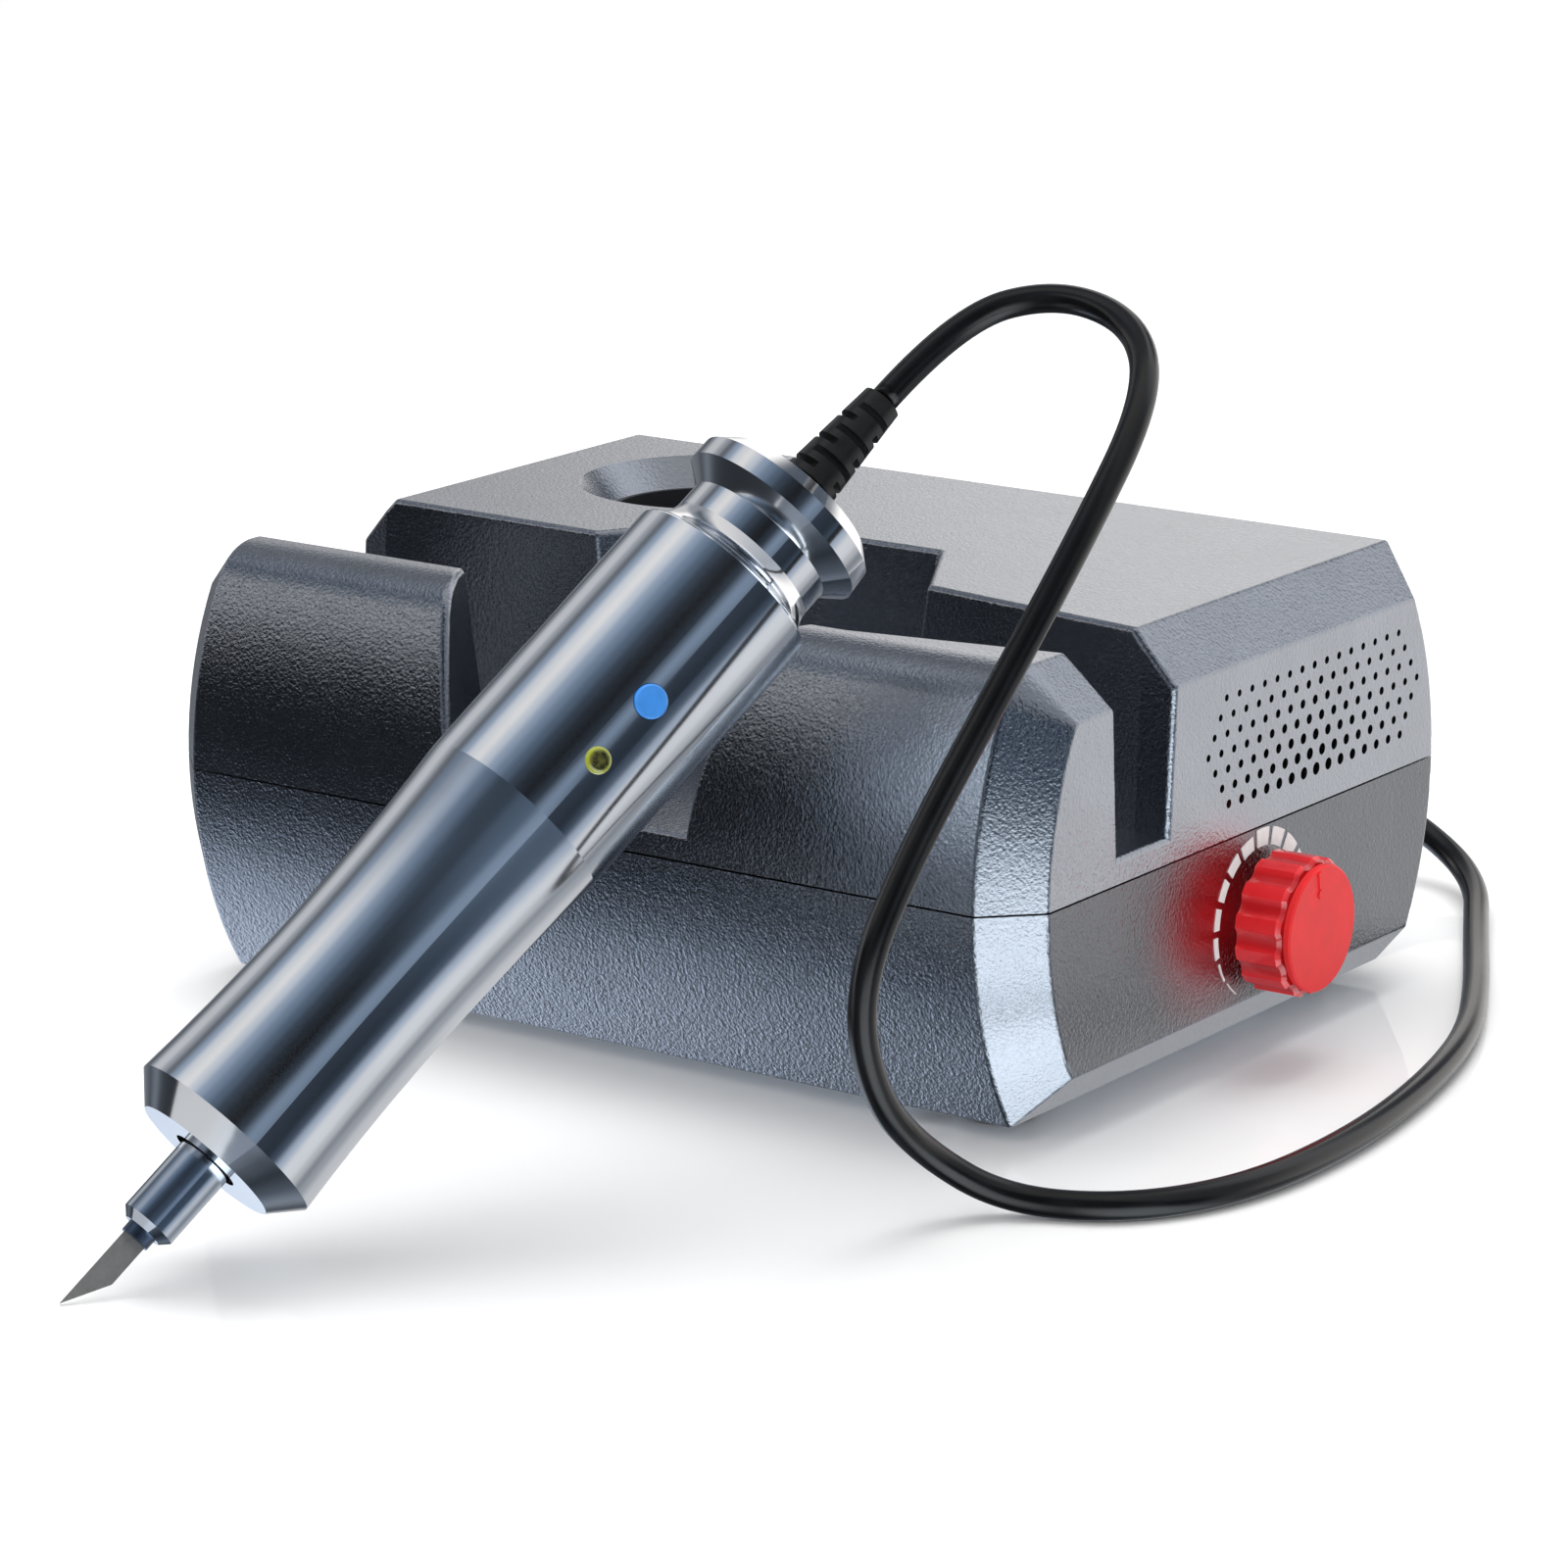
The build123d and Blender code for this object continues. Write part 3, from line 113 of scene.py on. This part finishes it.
def tube(name, path, radius, sides):
    """A closed round tube along a path, its rings carried along without twisting."""
    mesh = bpy.data.meshes.new(name)
    build = bmesh.new()
    rings = []
    side = None
    turns = [2 * math.pi * k / sides for k in range(sides)]
    for i, point in enumerate(path):
        ahead = path[min(i + 1, len(path) - 1)] - path[max(i - 1, 0)]
        ahead.normalize()
        if side is None:
            side = ahead.orthogonal()
        side = (side - ahead * side.dot(ahead)).normalized()
        across = ahead.cross(side)
        rings.append([build.verts.new(point + (side * math.cos(t) + across * math.sin(t)) * radius)
                      for t in turns])
    for ring, after in zip(rings, rings[1:]):
        for k in range(sides):
            build.faces.new((ring[k], ring[(k + 1) % sides], after[(k + 1) % sides], after[k]))
    build.faces.new(list(reversed(rings[0])))
    build.faces.new(rings[-1])
    bmesh.ops.recalc_face_normals(build, faces=build.faces)
    build.to_mesh(mesh)
    build.free()
    for face in mesh.polygons:
        face.use_smooth = len(face.vertices) == 4
    piece = bpy.data.objects.new(name, mesh)
    scene.collection.objects.link(piece)
    return piece


cord_path = cord_line(CORD_ROUTE)
cord = tube("handpiece_cable", cord_path, CORD_D / 2, CORD_SIDES)
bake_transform(cord)
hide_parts("handpiece_cord")


# ---------------------------------------------------------------- node helpers
class Graph:
    """A short way to write a node tree."""

    def __init__(self, tree):
        self.tree = tree
        tree.nodes.clear()

    def add(self, kind, **settings):
        made = self.tree.nodes.new("ShaderNode" + kind)
        for key, value in settings.items():
            setattr(made, key, value)
        return made

    def put(self, socket, value):
        """Link a socket, or set its number or colour. None leaves it as it is."""
        if isinstance(value, bpy.types.NodeSocket):
            self.tree.links.new(value, socket)
        elif value is not None:
            socket.default_value = value

    def put_all(self, made, **values):
        """Fill a node's inputs by name, with underscores for spaces."""
        for key, value in values.items():
            self.put(made.inputs[key.replace("_", " ")], value)

    def math(self, operation, a, b=None, c=None, clamp=False):
        made = self.add("Math", operation=operation, use_clamp=clamp)
        for socket, value in zip(made.inputs, (a, b, c)):
            self.put(socket, value)
        return made.outputs[0]

    def vector(self, operation, a, b=None, out="Vector"):
        made = self.add("VectorMath", operation=operation)
        self.put(made.inputs[0], a)
        self.put(made.inputs[1], b)
        return made.outputs[out]

    def dot(self, a, b):
        return self.vector("DOT_PRODUCT", a, b, out="Value")

    def length(self, a):
        return self.vector("LENGTH", a, out="Value")

    def scale(self, a, by):
        made = self.add("VectorMath", operation="SCALE")
        self.put(made.inputs[0], a)
        self.put(made.inputs["Scale"], by)
        return made.outputs["Vector"]

    def split(self, a):
        """A vector's three numbers."""
        made = self.add("SeparateXYZ")
        self.put(made.inputs[0], a)
        return made.outputs

    def step(self, value, low, high):
        """0 on low's side and 1 on high's, with a smooth rise between."""
        made = self.add("MapRange", interpolation_type="SMOOTHSTEP")
        self.put_all(made, Value=value, From_Min=low, From_Max=high)
        return made.outputs["Result"]

    def ramp(self, factor, stops, interpolation="LINEAR"):
        made = self.add("ValToRGB")
        band = made.color_ramp
        band.interpolation = interpolation
        for i, (place, colour) in enumerate(stops):
            stop = band.elements[i] if i < 2 else band.elements.new(place)
            stop.position = place
            stop.color = (*colour, 1)
        self.put(made.inputs[0], factor)
        return made.outputs[0]

    def mix(self, factor, a, b, blend="MIX"):
        made = self.add("Mix", data_type="RGBA", blend_type=blend)
        for socket, value in ((made.inputs[0], factor), (made.inputs[6], a), (made.inputs[7], b)):
            if isinstance(value, tuple):
                value = (*value[:3], 1.0)
            self.put(socket, value)
        return made.outputs[2]

    def times(self, a, b):
        return self.mix(1.0, a, b, "MULTIPLY")

    def noise(self, where, scale, detail=3.0, distortion=0.0):
        made = self.add("TexNoise")
        self.put_all(made, Vector=where, Scale=scale, Detail=detail, Roughness=0.55,
                     Distortion=distortion)
        return made.outputs[0]


# ---------------------------------------------------------------- studio
# What polished metal sees. The studio has zones along the handpiece's axis: low in front, for the
# casing; a waist and then strips of light and dark round the axis, for the barrel; and bright
# walls behind. Each table is degrees and brightness.
# Round the handpiece's axis, 0 towards the camera:
STRIPS = (
    (-180, 0.40), (-163, 0.20), (-153, 0.10), (-143, 0.27), (-133, 0.55), (-123, 0.57),
    (-113, 0.34), (-103, 0.13), (-93, 0.36), (-83, 0.70), (-72, 0.80), (-62, 0.62), (-52, 0.36),
    (-42, 0.22), (-32, 0.12), (-22, 0.048), (-12, 0.018), (-2, 0.006), (8, 0.03), (22, 0.26),
    (36, 0.035), (49, 0.026), (59, 0.07), (69, 0.46), (79, 0.72), (89, 0.70), (99, 0.50),
    (109, 0.26), (119, 0.36), (139, 0.58), (180, 0.60))
WAIST = (
    (-180, 0.35), (-150, 0.09), (-121, 0.56), (-105, 0.14), (-88, 0.15), (-66, 0.32), (-50, 0.14),
    (-32, 0.045), (-15, 0.05), (-2, 0.10), (12, 0.12), (26, 0.30), (40, 0.10), (58, 0.11),
    (72, 0.46), (86, 0.71), (102, 0.50), (110, 0.32), (122, 0.42), (147, 0.61), (180, 0.50))
BEHIND = (
    (-180, 1.17), (-140, 1.17), (-128, 0.32), (-108, 0.11), (-94, 0.35), (-76, 0.80), (-41, 0.72),
    (-3, 0.55), (36, 0.42), (62, 0.52), (84, 1.05), (100, 1.22), (140, 1.22), (180, 1.17))
# Round the X axis, 0 level in front of the casing, negative below that, and 90 overhead:
FRONT = (
    (-180, 0.40), (-130, 0.12), (-100, 0.22), (-78, 0.25), (-60, 0.195), (-52, 0.155),
    (-45, 0.12), (-38, 0.088), (-30, 0.064), (-23, 0.050), (-16, 0.034), (-8, 0.030), (0, 0.018),
    (8, 0.012), (15, 0.015), (24, 0.08), (31, 0.70), (39, 1.60), (48, 0.50), (60, 0.15),
    (82, 0.95), (110, 1.8), (150, 1.4), (180, 1.2))
CHAMFER = (
    (-180, 1.15), (-120, 1.35), (-70, 2.75), (-40, 2.60), (-10, 1.85), (0, 0.60), (8, 0.15),
    (16, 0.01), (50, 0.0), (70, 0.05), (90, 0.9), (180, 1.15))
NOSE_DARK = (
    (-180, 0.5), (-130, 0.45), (-110, 0.25), (-95, 0.10), (-75, 0.03), (-58, 0.08), (-44, 0.28),
    (-37, 0.25), (-30, 0.12), (0, 0.2), (180, 0.5))

WARMEST, COOLEST = (1.02, 1.0, 0.98), (0.68, 1.0, 1.48)
COOL_AT_DARK, COOL_FALL = 1.15, 1.45    # how cool the dark is, and how fast brightness warms it
NEAR_SIDE = 95                          # degrees, either side of the camera
CHAMFER_BLUE = (0.91, 1.0, 1.07)

# Where a zone begins to give way to the next and where it has: along the handpiece's axis,
TO_WAIST, TO_STRIPS, TO_BEHIND, TO_END = (-0.15, 0.02), (0.08, 0.21), (0.34, 0.46), (0.90, 0.97)
# to the left or down,
TO_NOSE, FAR_LEFT, FAR_DOWN, TO_GREY = (0.40, 0.15), (0.57, 0.65), (0.3, 0.6), (0.52, 0.62)
# and to the right.
TO_CHAMFER = (0.1, 0.5)

FRONT_GAIN, LEFT_GAIN = 0.75, 6.6       # the front's brightness, and what the low left adds to it
GREY_WALL, GREY_SHARE = (0.36, 0.37, 0.39), 0.7
BRIGHT_END = (1.13, 1.15, 1.20)
# A dark spot that the end cap's collar sees: its direction, its edge as a cosine, and its colour.
DARK_SPOT, SPOT_EDGE, SPOT_COLOUR = (-0.06, 0.92, 0.385), (0.965, 0.99), (0.07, 0.09, 0.12)

# Matt surfaces get more light from the left and front, and less from the other side, so that the
# floor gets the same in all.
KEY_SIDE = (-0.30, -0.35, 0.0)

VIEW_BACK = (CAMERA_AT - CAMERA_AIM).normalized()
STRIP_0 = (VIEW_BACK - AXIS * VIEW_BACK.dot(AXIS)).normalized()
STRIP_90 = AXIS.cross(STRIP_0)
TURNS_PER_RADIAN = 1 / (2 * math.pi)


def lights(table, tint=1.0, tint_behind=None):
    """Ramp stops round a turn. The dark is bluer than the bright, by tint, or tint_behind."""
    stops = []
    for degrees, level in table:
        cool = max(0.0, min(1.0, COOL_AT_DARK - COOL_FALL * level))
        cool *= tint if tint_behind is None or abs(degrees) < NEAR_SIDE else tint_behind
        stops.append((degrees / 360 + 0.5,
                      tuple(level * (w + (c - w) * cool) for w, c in zip(WARMEST, COOLEST))))
    return stops


world = bpy.data.worlds.new("studio")
scene.world = world
world.use_nodes = True
g = Graph(world.node_tree)
way = g.add("TexCoord").outputs["Generated"]
along = g.split(way)
leftward, forward, downward = (g.math("MULTIPLY", along[axis], -1.0) for axis in "XYZ")
along_hand = g.dot(way, tuple(AXIS))
round_hand = g.math("ARCTAN2", g.dot(way, tuple(STRIP_90)), g.dot(way, tuple(STRIP_0)))
round_hand = g.math("MULTIPLY_ADD", round_hand, TURNS_PER_RADIAN, 0.5)
round_x = g.math("ARCTAN2", along["Z"], forward)
round_x = g.math("MULTIPLY_ADD", round_x, TURNS_PER_RADIAN, 0.5)

gain = g.math("MULTIPLY", g.step(leftward, *FAR_LEFT), g.step(downward, *FAR_DOWN))
gain = g.math("MULTIPLY_ADD", gain, LEFT_GAIN, FRONT_GAIN)
front = g.scale(g.ramp(round_x, lights(FRONT, tint=0.45)), gain)
nose = g.ramp(round_x, lights(NOSE_DARK, tint=0.6))
front = g.mix(g.step(leftward, *TO_NOSE), front, nose)
chamfer = g.times(g.ramp(round_x, lights(CHAMFER, tint=0.6)), CHAMFER_BLUE)
front = g.mix(g.step(along["X"], *TO_CHAMFER), front, chamfer)

waist = g.ramp(round_hand, lights(WAIST, tint_behind=0.35), "EASE")
strips = g.ramp(round_hand, lights(STRIPS, tint_behind=0.35), "EASE")
strips = g.mix(g.step(along_hand, *TO_STRIPS), waist, strips)

behind = g.ramp(round_hand, lights(BEHIND, tint=0.5))
grey = g.math("MULTIPLY", g.step(leftward, *TO_GREY), GREY_SHARE)
behind = g.mix(grey, behind, GREY_WALL)
behind = g.mix(g.step(along_hand, *TO_END), behind, BRIGHT_END)
behind = g.mix(g.step(g.dot(way, DARK_SPOT), *SPOT_EDGE), behind, SPOT_COLOUR)

seen = g.mix(g.step(along_hand, *TO_WAIST), front, strips)
seen = g.mix(g.step(along_hand, *TO_BEHIND), seen, behind)
rays = g.add("LightPath").outputs
key = g.math("MULTIPLY_ADD", g.dot(way, KEY_SIDE), rays["Is Diffuse Ray"], 1.0)
background = g.add("Background")
g.put_all(background, Color=g.mix(rays["Is Glossy Ray"], key, seen), Strength=1.0)
g.put_all(g.add("OutputWorld"), Surface=background.outputs[0])


def panel(name, place, aim, size, power):
    """A soft rectangular light."""
    light = bpy.data.lights.new(name, "AREA")
    light.shape = "RECTANGLE"
    light.size, light.size_y = size
    light.energy = power
    holder = bpy.data.objects.new(name, light)
    holder.location = place
    holder.rotation_euler = turned_to(place, aim)
    scene.collection.objects.link(holder)
    return holder


def card(station, way_out, size, gap, brightness):
    """A small white card that only polished metal sees, facing a place on the handpiece's axis."""
    aim = HAND_START + AXIS * station
    place = aim + Vector(way_out).normalized() * gap
    made = panel("card", place, aim, (size, size), brightness * math.pi * size * size)
    made.visible_camera = False
    made.visible_diffuse = False


overhead = panel("overhead", place=(-0.10, 0.15, 1.1), aim=(0.0, -0.02, 0.0), size=(0.9, 0.7),
                 power=7.5)
overhead.visible_glossy = False
card(station=0.030, way_out=(-0.37, -0.86, -0.36), size=0.046, gap=0.045, brightness=0.60)

# ---------------------------------------------------------------- floor
FLOOR_REACH = 6
FLOOR_DROP = 0.0001             # just under what stands on it
FLOOR_WHITES, FLOOR_CLOUDS = ((0.93, 0.93, 0.935), (0.94, 0.94, 0.94)), 3.0
POLISH_SHARE, POLISH_ROUGH = 0.10, 0.04

floor_mesh = bpy.data.meshes.new("floor")
floor_mesh.from_pydata([(x * FLOOR_REACH, y * FLOOR_REACH, 0)
                        for x, y in ((-1, -1), (1, -1), (1, 1), (-1, 1))], [], [(0, 1, 2, 3)])
floor = bpy.data.objects.new("floor", floor_mesh)
floor.location.z = -FLOOR_DROP
floor.visible_glossy = False    # polished metal sees the studio's lower half instead
scene.collection.objects.link(floor)

floor_finish = bpy.data.materials.new("floor_white")
floor_finish.use_nodes = True
g = Graph(floor_finish.node_tree)
cloud = g.noise(g.add("TexCoord").outputs["Object"], FLOOR_CLOUDS)
matt = g.add("BsdfDiffuse")
g.put_all(matt, Color=g.mix(cloud, *FLOOR_WHITES))
polish = g.add("BsdfGlossy")
g.put_all(polish, Color=(1.0, 1.0, 1.0, 1.0), Roughness=POLISH_ROUGH)
both = g.add("MixShader")
for socket, value in zip(both.inputs, (POLISH_SHARE, matt.outputs[0], polish.outputs[0])):
    g.put(socket, value)
g.put_all(g.add("OutputMaterial"), Surface=both.outputs[0])
floor_mesh.materials.append(floor_finish)

# ---------------------------------------------------------------- materials
CLOUD_EDGES = (0.32, 0.68)


def finish(where, name, colour, metallic, rough, mottle=0.08, mottle_scale=90.0,
           rough_spread=0.08, grain=0.0, grain_scale=1500.0, specular=None, coat=None,
           adjust=None):
    """Give CAD nodes, named in one string, a finish with uneven colour and gloss.

    grain is the depth of its bumps. adjust changes its node tree before it is joined up."""
    made = bpy.data.materials.new(name)
    made.use_nodes = True
    g = Graph(made.node_tree)
    place = g.add("TexCoord").outputs["Object"]
    shader = g.add("BsdfPrincipled")
    cloud = g.noise(place, mottle_scale, detail=4.0)
    fine = g.noise(place, grain_scale, detail=2.0)
    low = tuple(c * (1 - mottle) for c in colour)
    high = tuple(min(1.0, c * (1 + mottle)) for c in colour)
    base = g.mix(g.step(cloud, *CLOUD_EDGES), low, high)
    gloss = g.math("MULTIPLY_ADD", g.math("ADD", cloud, fine), rough_spread, rough - rough_spread)
    bump = None
    if grain:
        relief = g.add("Bump")
        g.put_all(relief, Distance=grain, Strength=1.0, Height=fine)
        bump = relief.outputs[0]
    if adjust:
        base, gloss, bump = adjust(g, place, shader, base, gloss, bump)
    g.put_all(shader, Base_Color=base, Roughness=gloss, Metallic=metallic,
              Specular_IOR_Level=specular, Coat_Weight=coat, Normal=bump)
    g.put_all(g.add("OutputMaterial"), Surface=shader.outputs[0])
    for node in where.split():
        mesh = nodes[node].data
        mesh.materials.clear()
        mesh.materials.append(made)
    return made


# Casing: metallic paint over a leather grain. A painted red glow, in base colour and emission,
# stands for the knob's red light falling on it beside the dial, and the lower shell's two ends get
# painted shade.
CASING = (0.315, 0.335, 0.372)
CELLS, WRINKLES = 1800.0, 2400.0        # of the leather grain, per metre
CELL_SHARE, WRINKLE_BEND = 0.7, 0.6
LEATHER_DEPTH = 0.000075
END_FACING, END_SHADE = (0.93, 0.99), 0.45
GLOW_AT = (0.081, -0.010, 0.0255)
GLOW_FALL, GLOW_SOFTNESS = (34.0, 44.0, 50.0), 1.8
GLOW_PAINT, GLOW_PAINT_SHARE = (0.52, 0.03, 0.04), 0.62
GLOW_LIGHT, GLOW_STRENGTH = (0.9, 0.02, 0.03, 1.0), 0.17


def leather(painted_end_shade):
    def adjust(g, place, shader, base, gloss, bump):
        cell = g.add("TexVoronoi", feature="SMOOTH_F1")
        g.put_all(cell, Vector=place, Scale=CELLS)
        wrinkle = g.noise(place, WRINKLES, detail=2.0, distortion=WRINKLE_BEND)
        relief = g.add("Bump")
        g.put_all(relief, Distance=LEATHER_DEPTH,
                  Height=g.math("MULTIPLY_ADD", cell.outputs["Distance"], CELL_SHARE, wrinkle))
        # Painted shade: on the lower shell, faces turned along X get a darker base colour.
        if painted_end_shade:
            facing = g.split(g.add("NewGeometry").outputs["True Normal"])["X"]
            ends = g.step(g.math("ABSOLUTE", facing), *END_FACING)
            base = g.mix(ends, base, g.times(base, (END_SHADE,) * 3))
        # Painted red glow: near GLOW_AT the base colour turns red and emits faintly, standing for
        # the knob's light on the casing.
        away = g.vector("MULTIPLY", g.vector("SUBTRACT", place, GLOW_AT), GLOW_FALL)
        glow = g.math("SUBTRACT", 1.0, g.length(away), clamp=True)
        glow = g.math("POWER", glow, GLOW_SOFTNESS)
        base = g.mix(g.math("MULTIPLY", glow, GLOW_PAINT_SHARE), base, GLOW_PAINT)
        g.put_all(shader, Emission_Color=GLOW_LIGHT,
                  Emission_Strength=g.math("MULTIPLY", glow, GLOW_STRENGTH))
        return base, gloss, relief.outputs[0]
    return adjust


PAINT = dict(mottle=0.03, rough_spread=0.04)
finish("upper_shell", "casing_upper_paint", CASING, 1.0, 0.205, adjust=leather(False), **PAINT)
finish("lower_shell", "casing_lower_paint", CASING, 1.0, 0.205, adjust=leather(True), **PAINT)

# Handpiece
LATHE_RINGS = 4000.0            # per metre


def turned(spread):
    """Fine rings left by the lathe, round the handpiece's axis."""
    def adjust(g, place, shader, base, gloss, bump):
        station = g.dot(g.vector("SUBTRACT", place, tuple(HAND_START)), tuple(AXIS))
        rings = g.add("TexNoise", noise_dimensions="1D")
        g.put_all(rings, W=station, Scale=LATHE_RINGS, Detail=3.0)
        return base, g.math("MULTIPLY_ADD", rings.outputs[0], spread, gloss), bump
    return adjust


POLISHED = dict(mottle=0.03, mottle_scale=40.0, rough_spread=0.015, adjust=turned(0.03))
finish("barrel", "barrel_anodised", (0.84, 0.86, 0.89), 1.0, 0.105, **POLISHED)
finish("end_cap", "cap_anodised", (0.86, 0.87, 0.89), 1.0, 0.09, **POLISHED)
finish("chuck_nut", "chuck_polished", (0.62, 0.67, 0.74), 1.0, 0.10, mottle=0.04,
       mottle_scale=300.0, rough_spread=0.02, adjust=turned(0.04))
finish("collet", "collet_blued", (0.10, 0.13, 0.19), 1.0, 0.28, mottle_scale=500.0,
       adjust=turned(0.08))
finish("blade", "blade_ground", (0.52, 0.505, 0.475), 0.8, 0.30, mottle=0.06, mottle_scale=900.0)
finish("trigger_button", "button_blue", (0.035, 0.245, 0.72), 0.0, 0.34, mottle=0.06,
       mottle_scale=700.0, coat=0.25)

# Status light: an olive dome with a bright rim of yellow-green light round it.
RIM_RADII = (0.00115, 0.0018)
RIM_COLOUR = (0.30, 0.33, 0.03)
RIM_LIGHT, RIM_STRENGTH = (0.70, 0.85, 0.03, 1.0), 0.05
OLIVE_DARK, OLIVE_LIGHT = (0.018, 0.02, 0.004), (0.085, 0.085, 0.018)
OLIVE_SCALE, OLIVE_EDGES = 1200.0, (0.35, 0.65)


def lit_rim(g, place, shader, base, gloss, bump):
    away = g.vector("SUBTRACT", place, tuple(LED_FOOT))
    radius = g.length(g.vector("CROSS_PRODUCT", away, tuple(BUTTON_DIR)))
    rim = g.step(radius, *RIM_RADII)
    cloud = g.step(g.noise(place, OLIVE_SCALE, detail=2.0), *OLIVE_EDGES)
    dome = g.mix(cloud, OLIVE_DARK, OLIVE_LIGHT)
    g.put_all(shader, Emission_Color=RIM_LIGHT,
              Emission_Strength=g.math("MULTIPLY", rim, RIM_STRENGTH))
    return g.mix(rim, dome, RIM_COLOUR), gloss, bump


finish("status_led", "led_dome", (0.2, 0.2, 0.05), 0.0, 0.12, rough_spread=0.03, coat=0.6,
       adjust=lit_rim)

# Knob and dial
KNOB_CENTRE = (0.0, 0.0035, 0.0225)
FLUTE_RADII = (0.0100, 0.0107)
FLUTE_SHADE = (0.68, 0.50, 0.50)


def painted_flute_shade(g, place, shader, base, gloss, bump):
    """Painted shade: darker red down in the flutes, where shade falls."""
    off = g.vector("MULTIPLY", g.vector("SUBTRACT", place, KNOB_CENTRE), (0.0, 1.0, 1.0))
    outer = g.step(g.length(off), *FLUTE_RADII)
    return g.mix(outer, g.times(base, FLUTE_SHADE), base), gloss, bump


KNOB = dict(mottle=0.05, mottle_scale=220.0, grain=0.00002, grain_scale=2600.0)
finish("power_knob", "knob_red", (0.82, 0.026, 0.032), 0.0, 0.20, coat=0.6, adjust=painted_flute_shade, **KNOB)
finish("knob_cap", "knob_face_red", (0.82, 0.030, 0.034), 0.0, 0.40, specular=0.2, **KNOB)
finish("dial_scale", "dial_print", (0.93, 0.93, 0.93), 0.0, 0.6, mottle=0.04, mottle_scale=900.0)

# Cord, and the plastic and rubber outside
cord_pvc = finish("handpiece_cord", "cord_pvc", (0.004, 0.004, 0.0045), 0.0, 0.24, mottle=0.2,
                  mottle_scale=150.0, grain=0.00001, grain_scale=3200.0, specular=0.38)
cord.data.materials.append(cord_pvc)
finish("strain_relief cord_gland", "boot_pvc", (0.007, 0.007, 0.0075), 0.0, 0.30, mottle=0.2,
       mottle_scale=300.0, grain=0.00002, grain_scale=2600.0, specular=0.35)
finish("rubber_feet", "feet_rubber", (0.012, 0.012, 0.012), 0.0, 0.7, grain=0.00004)
finish("holder_well", "well_black", (0.02, 0.021, 0.025), 0.0, 0.5, grain=0.00003)
finish("power_switch power_inlet", "switch_black", (0.016, 0.016, 0.017), 0.0, 0.42,
       grain=0.00003, grain_scale=2200.0)
finish("switch_rocker", "rocker_gloss", (0.012, 0.012, 0.013), 0.0, 0.22, coat=0.5)

# Screws, shafts and the parts inside
MASKED_COPPER = (0.06, 0.38, 0.14)


def tracks(g, place, shader, base, gloss, bump):
    """Faint copper tracks under green solder mask."""
    lines = g.add("TexBrick")
    g.put_all(lines, Vector=place, Scale=110.0, Mortar_Size=0.03, Brick_Width=0.9, Row_Height=0.3)
    return g.mix(lines.outputs["Fac"], base, MASKED_COPPER), gloss, bump


finish("case_screws board_screws", "zinc_plate", (0.62, 0.62, 0.58), 1.0, 0.32,
       mottle_scale=600.0)
finish("knob_shaft clamp_bolt", "steel_turned", (0.62, 0.62, 0.62), 1.0, 0.28,
       mottle_scale=800.0)
finish("potentiometer", "pot_can", (0.12, 0.17, 0.28), 0.2, 0.45, mottle_scale=300.0,
       grain=0.00003)
finish("bush_nut", "nickel_plate", (0.74, 0.71, 0.66), 1.0, 0.22, mottle_scale=500.0)
finish("fan_frame fan_rotor", "fan_moulded", (0.02, 0.02, 0.02), 0.0, 0.5, grain=0.00003)
finish("driver_board handpiece_board", "solder_mask", (0.015, 0.17, 0.07), 0.0, 0.3,
       mottle_scale=400.0, adjust=tracks)
finish("transformer_core", "ferrite", (0.09, 0.09, 0.10), 0.1, 0.6, mottle=0.2,
       mottle_scale=900.0, grain=0.00005)
finish("transformer_coil", "coil_tape", (0.72, 0.50, 0.10), 0.0, 0.35, mottle_scale=500.0)
finish("filter_choke", "choke_enamel", (0.70, 0.60, 0.12), 0.0, 0.4, mottle_scale=800.0)
finish("heatsink", "heatsink_black", (0.05, 0.05, 0.052), 0.8, 0.42, mottle_scale=400.0)
finish("power_transistors control_chips tact_switch", "epoxy_black", (0.02, 0.02, 0.02), 0.0,
       0.55, grain=0.00003, grain_scale=4000.0)
finish("capacitors", "sleeve_navy", (0.02, 0.045, 0.12), 0.0, 0.25, mottle_scale=300.0, coat=0.3)
finish("board_connectors", "nylon_white", (0.80, 0.78, 0.70), 0.0, 0.5, mottle_scale=400.0,
       grain=0.00002)
finish("horn", "titanium", (0.46, 0.44, 0.42), 1.0, 0.3, mottle_scale=500.0, adjust=turned(0.08))
finish("back_mass", "mass_steel", (0.42, 0.42, 0.42), 1.0, 0.32, mottle_scale=500.0,
       adjust=turned(0.08))
finish("seal_rings", "nitrile", (0.015, 0.015, 0.015), 0.0, 0.6, grain=0.00002)
finish("electrodes", "electrode_copper", (0.78, 0.44, 0.26), 1.0, 0.3, mottle_scale=700.0)
finish("piezo_rings", "piezo_ceramic", (0.76, 0.73, 0.64), 0.0, 0.5, mottle_scale=900.0,
       grain=0.00002)
